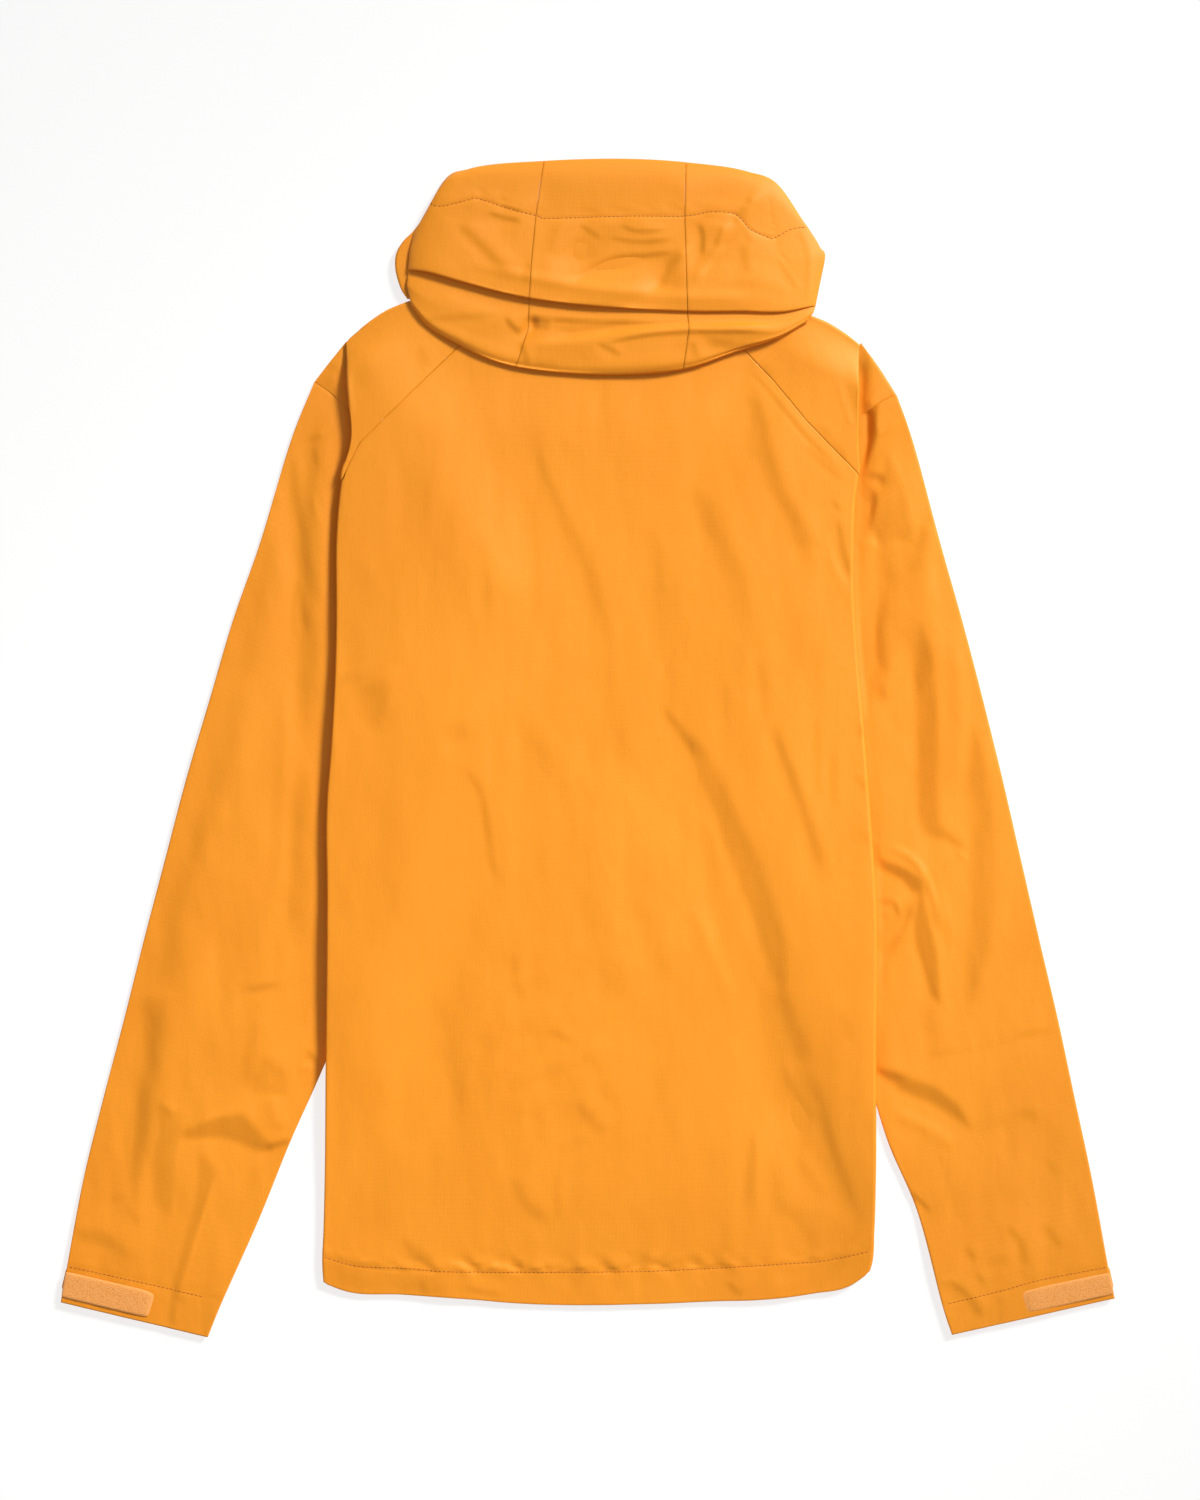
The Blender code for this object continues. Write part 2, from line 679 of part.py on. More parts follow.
def hood_point(share, index):
    bend = HOOD_PATH[min(int(round(index)), len(HOOD_PATH) - 1)]
    spot = hood_line(bend.start, share).lerp(hood_line(bend.end, share), bend.part)
    to_side = min(share, 1 - share) / HOOD_EDGE
    inside = math.sqrt(max(0.0, 1 - max(0.0, 1 - to_side) ** 2))
    offset = bend.off * lerp(0.35, 1.0, inside)
    return spot.x, spot.y + offset, lerp(bend.edge_z, bend.z, inside)


def hood_panel(name, first, last, columns):
    def place(u, v):
        return hood_point(lerp(first, last, u), v * (len(HOOD_PATH) - 1))

    return cloth(name, columns, len(HOOD_PATH) - 1, place, even=False)


def hood_folds():
    """The hood's hidden layers, folded together inside it: one rounded solid."""
    bm = bmesh.new()
    bmesh.ops.create_cube(bm, size=2.0)
    bmesh.ops.subdivide_edges(bm, edges=bm.edges, cuts=5, use_grid_fill=True)
    middle = Vector((17, 378))
    half_wide, half_long = 122.0, 42.0
    for vert in bm.verts:
        a, b, c = vert.co
        round_a = a * math.sqrt(1 - b * b / 2)
        round_b = b * math.sqrt(1 - a * a / 2)
        rim = 1 - 0.03 * abs(c)
        x = middle.x + half_wide * round_a * rim
        y = middle.y + half_long * round_b * rim
        edge = 1 - smooth_step((math.hypot(round_a, round_b) - 0.55) / 0.45)
        top = 8.0 + edge * 3.6 * smooth_step((y - 350) / 12) - 3.6 * smooth_step((y - 380) / 30)
        low = 4.7 + hump(x, y)
        vert.co = Vector((x, y, lerp(low, max(top, low + 1.2), (c + 1) / 2))) * MM
    return add_object("hood_folds", bm, "shell")


def collar(side):
    outward = -1 if side == "left" else 1
    seam_x = YOKES[side]["front"][0].x
    seam_y = YOKES[side]["front"][0].y
    ridge = YOKES[side]["ridge"][0]
    zip_x = CENTRE_X + outward * ZIP_SLOT
    neck = (
        (zip_x, FRONT_NECK_Y),
        (seam_x, seam_y),
        (ridge.x - outward, ridge.y + 1.5),
        (COLLAR_SIDE[side], ridge.y + 4),
    )

    def place(u, v):
        marks = (0, 0.5, 0.9, 1.0)
        low = Vector((np.interp(u, marks, [x for x, _ in neck]), np.interp(u, marks, [y for _, y in neck])))
        low.y += SEAM_GAP + 0.5
        high = Vector((lerp(zip_x, COLLAR_SIDE[side], u), COLLAR_LIP))
        spot = low.lerp(high, v)
        return spot.x, spot.y, HALF + hump(spot.x, spot.y)

    return cloth(f"collar_{side}", 8, 7, place)


def zip_strip(name, half_wide, z, wall, columns, top):
    hem = along(HEM, "x", CENTRE_X, "y") + 4

    def place(u, v):
        x = CENTRE_X + lerp(-half_wide, half_wide, u)
        y = lerp(hem, top, v)
        return x, y, z + hump(x, y)

    return cloth(name, columns, 34, place, "zip", wall)


def cube(bm, low, high):
    made = bmesh.ops.create_cube(bm, size=1.0)["verts"]
    size = Vector(high) - Vector(low)
    middle = (Vector(high) + Vector(low)) / 2
    bmesh.ops.scale(bm, vec=size * MM, verts=made)
    bmesh.ops.translate(bm, vec=middle * MM, verts=made)
    return made


def rod(bm, radius, wide, segments):
    made = bmesh.ops.create_cone(
        bm, cap_ends=True, segments=segments, radius1=radius * MM, radius2=radius * MM, depth=wide * MM
    )["verts"]
    bmesh.ops.rotate(bm, verts=made, cent=(0, 0, 0), matrix=Matrix.Rotation(math.pi / 2, 3, "Y"))
    return made


def boolean(made, helper, operation):
    bpy.data.collections["cutters"].objects.link(helper)
    bpy.data.collections["rain_jacket"].objects.unlink(helper)
    helper.hide_render = True
    helper.display_type = "WIRE"
    step = made.modifiers.new(operation.lower(), "BOOLEAN")
    step.operation = operation
    step.solver = "EXACT"
    step.object = helper


def zip_slider():
    """A block over the chain's end, with two lugs below it that hold the pull tab's pin."""
    pin_y = ZIP_TOP + 4.5
    low, high = SLIDER["low"] - PIN_Z, SLIDER["high"] - PIN_Z
    front, back = ZIP_TOP + 0.6 - pin_y, ZIP_TOP + 0.6 + SLIDER["long"] - pin_y
    bm = bmesh.new()
    cube(bm, (-SLIDER["wide"] / 2, front, low), (SLIDER["wide"] / 2, back, high))
    bmesh.ops.bevel(
        bm, geom=bm.edges[:], offset=SLIDER["bevel"] * MM, segments=2, profile=0.5,
        affect="EDGES", material=-1,
    )
    made = add_object("zip_slider", bm, "metal", (CENTRE_X, pin_y, PIN_Z))
    for way in (-1, 1):
        bm = bmesh.new()
        near, far = way * LUG["inner"], way * (LUG["inner"] + LUG["wide"])
        half_long = LUG["long"] / 2
        cube(bm, (min(near, far), -half_long, LUG["low"] - PIN_Z), (max(near, far), half_long, low + 0.4))
        boolean(made, add_object(f"slider_lug_{way}", bm, "metal", made.location / MM), "UNION")
    bm = bmesh.new()
    rod(bm, PIN_RADIUS, 2 * LUG["inner"] + LUG["wide"], 12)
    boolean(made, add_object("slider_pin", bm, "metal", made.location / MM), "UNION")
    return made


def zip_pull():
    """The pull tab, its eye on the slider's pin, lying towards the hem."""
    place = (CENTRE_X, ZIP_TOP + 4.5, PIN_Z)
    bm = bmesh.new()
    rod(bm, PULL["hub"], PULL["hub_wide"], 20)
    made = add_object("zip_pull", bm, "metal", place)
    half_thick = PULL["thick"] / 2
    bm = bmesh.new()
    cube(bm, (-PULL["hub_wide"] / 2, -PULL_NECK - 1, -half_thick), (PULL["hub_wide"] / 2, -0.9, half_thick))
    boolean(made, add_object("pull_neck", bm, "metal", place), "UNION")
    bm = bmesh.new()
    cube(bm, (-PULL["wide"] / 2, -PULL["long"], -half_thick), (PULL["wide"] / 2, -PULL_NECK, half_thick))
    upright = [edge for edge in bm.edges if abs(edge.verts[0].co.z - edge.verts[1].co.z) > half_thick * MM]
    bmesh.ops.bevel(bm, geom=upright, offset=1.5 * MM, segments=4, profile=0.5, affect="EDGES", material=-1)
    boolean(made, add_object("pull_tab", bm, "metal", place), "UNION")
    bm = bmesh.new()
    rod(bm, PULL["hole"], PULL["hub_wide"] * 2, 20)
    boolean(made, add_object("pull_eye", bm, "metal", place), "DIFFERENCE")
    return made


def main():
    for old in list(bpy.data.objects):
        bpy.data.objects.remove(old, do_unlink=True)
    for name in ("rain_jacket", "cutters"):
        bpy.context.scene.collection.children.link(bpy.data.collections.new(name))
    cloth("back_panel", sum(BACK_CELLS), sum(BODY_ROWS), back_point)
    for side in ("left", "right"):
        front_panel(side)
        sleeve(side)
        yoke_tip(side)
        yoke(side)
        cuff_patch(side)
        cuff_tab(side)
        collar(side)
    first_seam, last_seam = HOOD_SEAMS
    hood_panel("hood_left", 0.0, first_seam - HOOD_SPLIT, 8)
    hood_panel("hood_centre", first_seam + HOOD_SPLIT, last_seam - HOOD_SPLIT, 6)
    hood_panel("hood_right", last_seam + HOOD_SPLIT, 1.0, 8)
    hood_folds()
    zip_strip("zip_tape", TAPE_HALF, TAPE_Z, TAPE_WALL, 6, ZIP_TOP)
    zip_strip("zip_chain", CHAIN_HALF, CHAIN_Z, CHAIN_WALL, 2, ZIP_TOP)
    zip_slider()
    zip_pull()


main()
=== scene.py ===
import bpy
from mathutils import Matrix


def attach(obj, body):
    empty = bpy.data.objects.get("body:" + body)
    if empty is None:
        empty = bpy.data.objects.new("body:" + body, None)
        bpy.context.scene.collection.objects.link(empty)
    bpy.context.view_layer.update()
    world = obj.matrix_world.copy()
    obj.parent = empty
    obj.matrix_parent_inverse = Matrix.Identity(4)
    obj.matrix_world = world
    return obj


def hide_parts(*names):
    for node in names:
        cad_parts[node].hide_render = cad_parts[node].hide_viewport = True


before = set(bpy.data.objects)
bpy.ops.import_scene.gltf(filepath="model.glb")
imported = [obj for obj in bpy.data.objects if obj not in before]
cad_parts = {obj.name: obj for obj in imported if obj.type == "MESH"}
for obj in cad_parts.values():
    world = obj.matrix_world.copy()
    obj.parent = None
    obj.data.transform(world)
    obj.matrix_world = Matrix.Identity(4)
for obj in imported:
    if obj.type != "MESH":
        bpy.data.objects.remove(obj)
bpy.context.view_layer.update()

import math

import bmesh
import bpy
import numpy as np
from mathutils import Matrix, Vector
from mathutils.bvhtree import BVHTree

scene = bpy.context.scene
scene.view_settings.view_transform = "Standard"

# Everything below is worked out in millimetres and becomes metres where a mesh is made.
# Creases are placed on the photograph, so their points are in its pixels.
photo = {"mmPerPixel": 0.76, "middleX": 587.0, "middleY": 748.5, "wide": 1200, "high": 1500}

layers = {
    "wall": 1.1,        # thickness that each layer takes up
    "air": 0.8,         # between two layers
    "sleeveHigh": 5.0,
    "loft": 5.4,        # how far the back stands off the front in the middle
    "armpitY": 118.0,
    "fadeY": 165.0,
    "sleeveRamp": 78.0,
    "stripRamp": 52.0,
    "clear": 4.0,
    "hemLoft": 3.05,
    "hemRamp": 90.0,
    "topFall": (0.45, 230, 60),    # share of the loft lost towards the neck, where, over what length
}
layer = layers["wall"] + layers["air"]
half = layers["wall"] / 2
squash = 0.45                     # how sharply edges are turned
lightTurn = math.radians(44.0)    # where on the plan the light comes from


# ---- curves, noise and creases

def ease(value):
    value = np.clip(value, 0.0, 1.0)
    return value * value * (3 - 2 * value)


def mix(first, second, share):
    return first + (second - first) * share


def bell(value, middle, wide):
    return np.exp(-((value - middle) / wide) ** 2)


def smoothStep(t, first, second, leaving, arriving):
    # from one value to the next, with the slopes to leave and to arrive with
    point = first * (2 * t**3 - 3 * t**2 + 1) + second * (3 * t**2 - 2 * t**3)
    return point + leaving * (t**3 - 2 * t**2 + t) + arriving * (t**3 - t**2)


def curveThrough(keys, values, at):
    # a smooth curve through a table's points, held level past its ends
    keys, values = np.asarray(keys, float), np.asarray(values, float)
    if keys[0] > keys[-1]:
        keys, values = keys[::-1], values[::-1]
    slopes = np.gradient(values, keys)
    at = np.clip(np.asarray(at, float), keys[0], keys[-1])
    index = np.clip(np.searchsorted(keys, at, side="right") - 1, 0, len(keys) - 2)
    step = keys[index + 1] - keys[index]
    t = (at - keys[index]) / step
    return smoothStep(t, values[index], values[index + 1], step * slopes[index], step * slopes[index + 1])


def column(table, number):
    return [row[number] for row in table]


def softNoise(x, y, size, seed):
    lattice = np.random.default_rng(seed).uniform(-1, 1, (97, 97))
    gridX, gridY = x / size, y / size
    cellX, cellY = np.floor(gridX).astype(int), np.floor(gridY).astype(int)
    fx, fy = gridX - cellX, gridY - cellY
    fx, fy = fx**3 * (fx * (fx * 6 - 15) + 10), fy**3 * (fy * (fy * 6 - 15) + 10)

    def corner(stepX, stepY):
        return lattice[(cellX + stepX) % 97, (cellY + stepY) % 97]

    return mix(mix(corner(0, 0), corner(1, 0), fx), mix(corner(0, 1), corner(1, 1), fx), fy)


def onPlan(spot):
    return np.array([
        (spot[0] - photo["middleX"]) * photo["mmPerPixel"],
        (photo["middleY"] - spot[1]) * photo["mmPerPixel"],
    ])


def roundedLine(spots, steps=5):
    # a smooth line through a few points, as short straight runs
    points = np.array([onPlan(spot) for spot in spots])
    marks = np.arange(len(points))
    fine = np.linspace(0, len(points) - 1, (len(points) - 1) * steps + 1)
    return np.stack([curveThrough(marks, points[:, 0], fine), curveThrough(marks, points[:, 1], fine)], 1)


def nearestOn(line, x, y):
    # distance to a line, and how far along the line its nearest point is
    runs = line[1:] - line[:-1]
    long = np.hypot(runs[:, 0], runs[:, 1])
    starts = np.concatenate([[0], np.cumsum(long)])
    best, along = np.full(x.shape, 1e9), np.zeros(x.shape)
    for (ax, ay), (rx, ry), size, start in zip(line[:-1], runs, long, starts):
        t = np.clip(((x - ax) * rx + (y - ay) * ry) / (size * size), 0, 1)
        away = np.hypot(x - ax - t * rx, y - ay - t * ry)
        along = np.where(away < best, (start + t * size) / starts[-1], along)
        best = np.minimum(best, away)
    return best, along


def lineMask(x, y, wide, spots):
    # one along a drawn line and fading to its sides and ends; widths are half widths in millimetres
    first, last = wide if isinstance(wide, tuple) else (wide * 0.75, wide)
    away, along = nearestOn(roundedLine(spots), x, y)
    return bell(away, 0, mix(first, last, along)) * ease(along / 0.2) * ease((1 - along) / 0.25)


def facetMask(x, y, soft, spots):
    # one inside a drawn outline, with a soft rim
    line = np.array([onPlan(spot) for spot in spots + spots[:1]])
    inside = np.zeros(x.shape, bool)
    for (ax, ay), (bx, by) in zip(line[:-1], line[1:]):
        if ay != by:
            inside ^= ((ay > y) != (by > y)) & (x < (bx - ax) * (y - ay) / (by - ay) + ax)
    away = nearestOn(line, x, y)[0]
    return ease(0.5 + np.where(inside, away, -away) / (2 * soft))


fit = {
    "edge": 70,         # free border round the grid
    "across": 0.05,     # how much slope across the light counts
    "reach": 38.0,      # how far a crease spreads before the cloth is level again
}


def shadeRelief(box, slopes=(), facets=()):
    # A height whose slope towards the light is what each line and facet asks for, and gentle
    # elsewhere. A positive slope faces away from the light, so it lies in shade.
    edge = fit["edge"]
    across, up = np.arange(box[0] - edge, box[1] + edge), np.arange(box[2] - edge, box[3] + edge)
    x, y = np.meshgrid(across, up, indexing="ij")
    wanted = np.zeros(x.shape)
    for group, mask in ((slopes, lineMask), (facets, facetMask)):
        for size, slope, *spots in group:
            plan = np.array([onPlan(spot) for spot in spots])
            reach = 3 * (max(size) if isinstance(size, tuple) else size) + 2
            low = np.clip((plan.min(0) - reach - (across[0], up[0])).astype(int), 0, None)
            high = (plan.max(0) + reach - (across[0], up[0])).astype(int) + 1
            part = np.s_[low[0]:max(high[0], 1), low[1]:max(high[1], 1)]
            if x[part].size:
                wanted[part] += slope * mask(x[part], y[part], size, spots)
    # least squares over the whole grid at once
    kx, ky = 2 * math.pi * np.fft.fftfreq(len(across))[:, None], 2 * math.pi * np.fft.fftfreq(len(up))[None]
    lightX, lightY = math.cos(lightTurn), math.sin(lightTurn)
    along, beside = kx * lightX + ky * lightY, ky * lightX - kx * lightY
    weight = along**2 + fit["across"] * beside**2 + (1 / fit["reach"]) ** 2
    height = np.real(np.fft.ifft2(-1j * along * np.fft.fft2(wanted) / weight))

    def sample(atX, atY):
        fx = np.clip(atX - across[0], 0, len(across) - 2.001)
        fy = np.clip(atY - up[0], 0, len(up) - 2.001)
        ix, iy = fx.astype(int), fy.astype(int)
        fx, fy = fx - ix, fy - iy
        low = mix(height[ix, iy], height[ix + 1, iy], fx)
        return mix(low, mix(height[ix, iy + 1], height[ix + 1, iy + 1], fx), fy)

    return sample


def stitchedRelief(shape, away, x, y, seed):
    # a stitched line's groove, and the cloth gathered beside it
    deep, narrow = shape["groove"]
    high, place, wide, size = shape["gathers"]
    return high * bell(away, place, wide) * softNoise(x, y, size, seed) - deep * bell(away, 0, narrow)


def ridgeHeight(x, y, ridges):
    height = np.zeros(x.shape)
    for wide, high, *spots in ridges:
        height += high * lineMask(x, y, wide, spots)
    return height


# height and size of each layer of the cloth's faint unevenness
unevenness = {"broad": (0.30, 23.0), "middle": (0.15, 10.0), "sharp": (0.06, 6.5)}


def crumple(x, y, seed, grain=(1.0, 0.35)):
    # faint unevenness that all of this cloth has, longer down the cloth than across it
    u, v = x * grain[0], y * grain[1]
    (broad, broadSize), (middle, middleSize), (sharp, sharpSize) = unevenness.values()
    height = broad * softNoise(u, v, broadSize, seed) + middle * softNoise(u, v, middleSize, seed + 1)
    return height + sharp * (0.5 - np.abs(softNoise(x, y * 0.6, sharpSize, seed + 2)))


# ---- meshes

def clothPiece(name, columns, rows, place, size, flip=False, tube=False, cut=None):
    # a grid whose points are put where place says; its UV map is in metres of cloth
    bm = bmesh.new()
    uvLayer = bm.loops.layers.uv.new("cloth")
    bmesh.ops.create_grid(bm, x_segments=columns, y_segments=rows, size=0.5, calc_uvs=True)
    if cut:
        gone = [face for face in bm.faces if cut(*(face.calc_center_median().xy + Vector((0.5, 0.5))))]
        bmesh.ops.delete(bm, geom=gone, context="FACES")
    for face in bm.faces:
        for loop in face.loops:
            spot = loop[uvLayer].uv
            loop[uvLayer].uv = (spot.x * size[0], spot.y * size[1])
    flat = np.array([vert.co[:2] for vert in bm.verts]) + 0.5
    points = np.stack(place(flat[:, 0], flat[:, 1]), 1) / 1000
    for vert, point in zip(bm.verts, points):
        vert.co = point
    if tube:
        bmesh.ops.remove_doubles(bm, verts=bm.verts, dist=0.00001)
    if flip:
        bmesh.ops.reverse_faces(bm, faces=bm.faces)
    return finishPiece(name, bm)


def finishPiece(name, bm, smooth=True):
    for face in bm.faces:
        face.smooth = smooth
    mesh = bpy.data.meshes.new(name)
    bm.to_mesh(mesh)
    bm.free()
    piece = bpy.data.objects.new(name, mesh)
    scene.collection.objects.link(piece)
    return piece


def dress(piece, finish, slot, *nodes, body="jacket"):
    piece.data.materials.clear()
    piece.data.materials.append(finish)
    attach(piece, body)
    if nodes:
        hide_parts(*nodes)
    return piece


def spans(share, *cells):
    # which stretch of cells each share falls in, and how far along it
    place = np.asarray(share, float) * sum(cells)
    ends = np.cumsum(cells)
    part = np.minimum(np.searchsorted(ends, place - 1e-6), len(cells) - 1)
    starts = np.concatenate([[0], ends[:-1]])
    return part, np.clip((place - starts[part]) / np.asarray(cells)[part], 0, 1)


def seamDrop(distance, deep=0.9, wide=1.5):
    # how far the cloth dips beside a seam
    return deep * (1 - np.sqrt(np.clip(1 - (1 - np.clip(distance / wide, 0, 1)) ** 2, 0, 1)))


def fineEnds(share, cells, length, steps=(0.0, 0.4, 1.0, 2.0)):
    # crowds the outermost rows of a grid towards both ends
    ends = np.array(steps) / length
    middle = np.linspace(ends[-1], 1 - ends[-1], cells + 3 - 2 * len(steps))
    marks = np.concatenate([ends[:-1], middle, 1 - ends[:-1][::-1]])
    return np.interp(share, np.linspace(0, 1, len(marks)), marks)


# ---- the body's plan, the same as the solid's

body = {
    # y, left edge, right edge, and how far the cloth runs on under the edge
    "edges": (
        (-409, -201, 211, 75), (-393, -202, 217, 75), (-366, -201, 219, 76), (-328, -200, 220, 77),
        (-239, -199, 220, 80), (-115, -198, 220, 83), (-39, -198, 215, 86), (-1, -195, 212, 87),
        (98, -191, 204, 88), (118, -191, 203, 84), (155, -191, 203, 60), (186, -189, 204, 45),
        (209, -186, 207, 35), (239, -179, 207, 25), (263, -182, 207, 20), (308, -185, 209, 12),
    ),
    "hem": (
        (-203, -405), (-185, -412), (-140, -415), (-84, -419), (-62, -421), (52, -422), (100, -420),
        (131, -419), (173, -414), (200, -408), (217, -396),
    ),
    "top": (
        (-186, 204), (-173, 231), (-150, 254), (-125, 279), (-97, 306), (-89, 314), (-50, 311),
        (60, 309), (112, 311), (121, 301), (141, 280), (166, 249), (190, 224), (206, 208),
    ),
    "centreX": 9.0,
}

sleeves = {
    # from the cuff's edge to the sleeve seam: outer x, y, inner x, y, bow towards the shoulder, high
    "left": (
        (-401, -421, -288, -448, 0, 4.6), (-396, -393, -277, -421, 0, 4.8),
         (-384, -328, -249, -358, 0, 5.0),
        (-369, -267, -226, -301, 0, 5.0), (-353, -206, -205, -254, 0, 5.0),
         (-338, -146, -180, -195, 0, 5.0),
        (-322, -85, -161, -135, 0, 5.0), (-306, -24, -142, -77, 0, 5.0), (-288, 37, -128, -25, 0, 5.0),
        (-270, 98, -117, 25, 2, 5.0), (-249, 158, -108, 72, 8, 5.0), (-226, 234, -103, 105, 18, 4.8),
        (-208, 279, -101, 120, 25, 4.6),
    ),
    "right": (
        (402, -418, 277, -446, 0, 4.6), (397, -394, 269, -421, 0, 4.8), (385, -328, 251, -353, 0, 5.0),
        (372, -267, 229, -301, 0, 5.0), (359, -206, 213, -250, 0, 5.0), (345, -146, 192, -190, 0, 5.0),
        (331, -85, 176, -130, 0, 5.0), (317, -24, 162, -77, 0, 5.0), (302, 37, 147, -20, 0, 5.0),
        (286, 98, 136, 28, 2, 5.0), (269, 158, 127, 74, 8, 5.0), (249, 232, 121, 105, 18, 4.8),
        (236, 269, 119, 120, 26, 4.6),
    ),
    "lift": 1.7,
    "ramp": 60.0,
}

yokeTips = {
    "left": (
        (-208, 279, -101, 120, 25, 4.6), (-197, 293.5, -106, 136, 12, 4.4),
        (-183.5, 310.5, -114, 154, 0, 3.6),
    ),
    "right": (
        (236, 269, 119, 120, 26, 4.6), (223.5, 289, 124, 136, 12, 4.4),
        (208.8, 309.5, 136, 160, 0, 3.6),
    ),
}


def bodyEdge(side, y):
    return curveThrough(column(body["edges"], 0), column(body["edges"], 1 if side == "left" else 2), y)


def stripWidth(y):
    return curveThrough(column(body["edges"], 0), column(body["edges"], 3), y)


def hemAt(x):
    return curveThrough(column(body["hem"], 0), column(body["hem"], 1), x)


def topAt(x):
    return np.interp(x, column(body["top"], 0), column(body["top"], 1))


def innerEdge(side, y):
    tip = yokeTips[side][-1]
    rows = [(row[3], row[2]) for row in sleeves[side]] + [(tip[3], tip[2]), (tip[1], tip[0])]
    return curveThrough(column(rows, 0), column(rows, 1), y)


def sleeveCover(x, y):
    left = (x - innerEdge("left", y) - layers["clear"]) / layers["sleeveRamp"]
    right = (innerEdge("right", y) - x - layers["clear"]) / layers["sleeveRamp"]
    return 1 - ease(np.minimum(left, right))


def stripCover(x, y):
    reach = stripWidth(y) + layers["clear"]
    left = (x - bodyEdge("left", y) - reach) / layers["stripRamp"]
    right = (bodyEdge("right", y) - x - reach) / layers["stripRamp"]
    return 1 - ease(np.minimum(left, right))


hump = {"y": 356.0, "reachX": 62.0, "reachY": 54.0, "high": 3.0}


def humpAt(x, y):
    reach = np.hypot((x - body["centreX"]) / hump["reachX"], (y - hump["y"]) / hump["reachY"])
    return hump["high"] * (1 - ease((reach - 0.35) / 0.65))


def stripLevel(x, y):
    return half + (layers["sleeveHigh"] + layers["air"]) * sleeveCover(x, y)


def frontLevel(x, y):
    fade = 1 - ease((y - layers["armpitY"]) / (layers["fadeY"] - layers["armpitY"]))
    overSleeve = (layers["sleeveHigh"] + layers["air"]) * sleeveCover(x, y) * fade
    return half + overSleeve + 2 * layer * stripCover(x, y)


def backLevel(x, y):
    strips = stripCover(x, y)
    loft = mix(layers["hemLoft"], layers["loft"], ease((y - hemAt(x)) / layers["hemRamp"])) * (1 - strips)
    fall, start, size = layers["topFall"]
    return stripLevel(x, y) + 2 * layer * strips + layer + loft * (1 - fall * ease((y - start) / size))


def rolled(edgeX, inward, low, high, turn, inset):
    radius = (high - low) / 2
    angle = math.pi * turn
    x = edgeX + inward * (half + (radius - (radius - inset) * np.sin(angle)) * squash)
    return x, (low + high) / 2 - (radius - inset) * np.cos(angle)


# ---- materials

def nodeSet(name):
    material = bpy.data.materials.new(name)
    material.use_nodes = True
    tree = material.node_tree

    def put(node, socket, key, value):
        # another node's output is linked in, and a plain value goes to an input or a setting
        if isinstance(value, bpy.types.NodeSocket):
            tree.links.new(value, socket)
        elif socket:
            socket.default_value = value
        else:
            setattr(node, key, value)

    def wire(node, **values):
        for key, value in values.items():
            put(node, node.inputs.get(key.replace("_", " ")), key, value)
        return node

    def add(kind, **values):
        return wire(tree.nodes.new("ShaderNode" + kind), **values)

    def combine(operation, *values):
        node = add("Math", operation=operation)
        for socket, value in zip(node.inputs, values):
            put(node, socket, "", value)
        return node.outputs[0]

    def surface(**values):
        wire(tree.nodes["Principled BSDF"], **values)

    return material, add, combine, surface


def tinted(add, grain, *stops):
    tint = add("ValToRGB", Fac=grain)
    for element, (place, colour) in zip(tint.color_ramp.elements, stops):
        element.position = place
        element.color = (*colour, 1.0)
    return tint.outputs["Color"]


shell = {
    "light": (0.88, 0.298, 0.008),
    "deep": (0.86, 0.280, 0.006),
    "threadPitch": 0.0007,
    "ripstopPitch": 0.0034,     # a slightly heavier thread every few millimetres, both ways
    "ripstopSharp": 14.0,
    "wavesInMetre": 3.2,
}


def clothMaterial(name, light, deep, crinkle=1.0):
    material, add, combine, surface = nodeSet(name)
    where = add("TexCoord").outputs["Object"]
    clouds = add("TexNoise", Vector=where, Scale=9.0, Detail=4.0, Roughness=0.55).outputs["Fac"]
    tint = tinted(add, clouds, (0.3, deep), (0.62, light))
    # the threads run on the cloth's own UV map
    uv = add("UVMap", uv_map="cloth").outputs["UV"]

    def threads(pitch):
        scale = 1 / pitch / shell["wavesInMetre"]
        return [
            add("TexWave", Vector=uv, bands_direction=way, Scale=scale, Distortion=0.0).outputs["Fac"]
            for way in "XY"
        ]

    weave = combine("MULTIPLY", *threads(shell["threadPitch"]))
    woven = add("Bump", Strength=0.16, Distance=0.0002, Height=weave).outputs["Normal"]
    grid = [combine("POWER", wave, shell["ripstopSharp"]) for wave in threads(shell["ripstopPitch"])]
    shade = add(
        "MixRGB", blend_type="MULTIPLY", Color1=tint, Color2=(0.965, 0.95, 0.93, 1.0),
        Fac=combine("MAXIMUM", *grid),
    )
    # fine crinkles that the mesh is too coarse for
    stretch = add("Mapping", Vector=where, Scale=(1.0, 0.45, 1.0)).outputs["Vector"]
    fine = add("TexNoise", Vector=stretch, Scale=120.0, Detail=6.0, Roughness=0.68, Distortion=0.3)
    crinkles = add("Bump", Strength=0.3 * crinkle, Distance=0.001, Height=fine.outputs["Fac"], Normal=woven)
    polish = add("MapRange", Value=clouds, To_Min=0.50, To_Max=0.62)
    surface(
        Base_Color=shade.outputs["Color"], Normal=crinkles.outputs["Normal"],
        Roughness=polish.outputs["Result"], Specular_IOR_Level=0.42,
        Sheen_Weight=0.03, Sheen_Roughness=0.45, Sheen_Tint=(1.0, 0.80, 0.50, 1.0),
    )
    return material


def grainMaterial(name, kind, scale, stops, bump=None, **finish):
    # a fine grain that tints the surface and may raise it
    material, add, _, surface = nodeSet(name)
    where = add("TexCoord").outputs["Object"]
    if kind == "noise":
        grain = add("TexNoise", Vector=where, Scale=scale[0], Detail=scale[1]).outputs["Fac"]
    else:
        grain = add("TexVoronoi", Vector=where, Scale=scale[0], Randomness=scale[1]).outputs["Distance"]
    surface(Base_Color=tinted(add, grain, *stops), **finish)
    if bump:
        surface(Normal=add("Bump", Height=grain, **bump).outputs["Normal"])
    return material


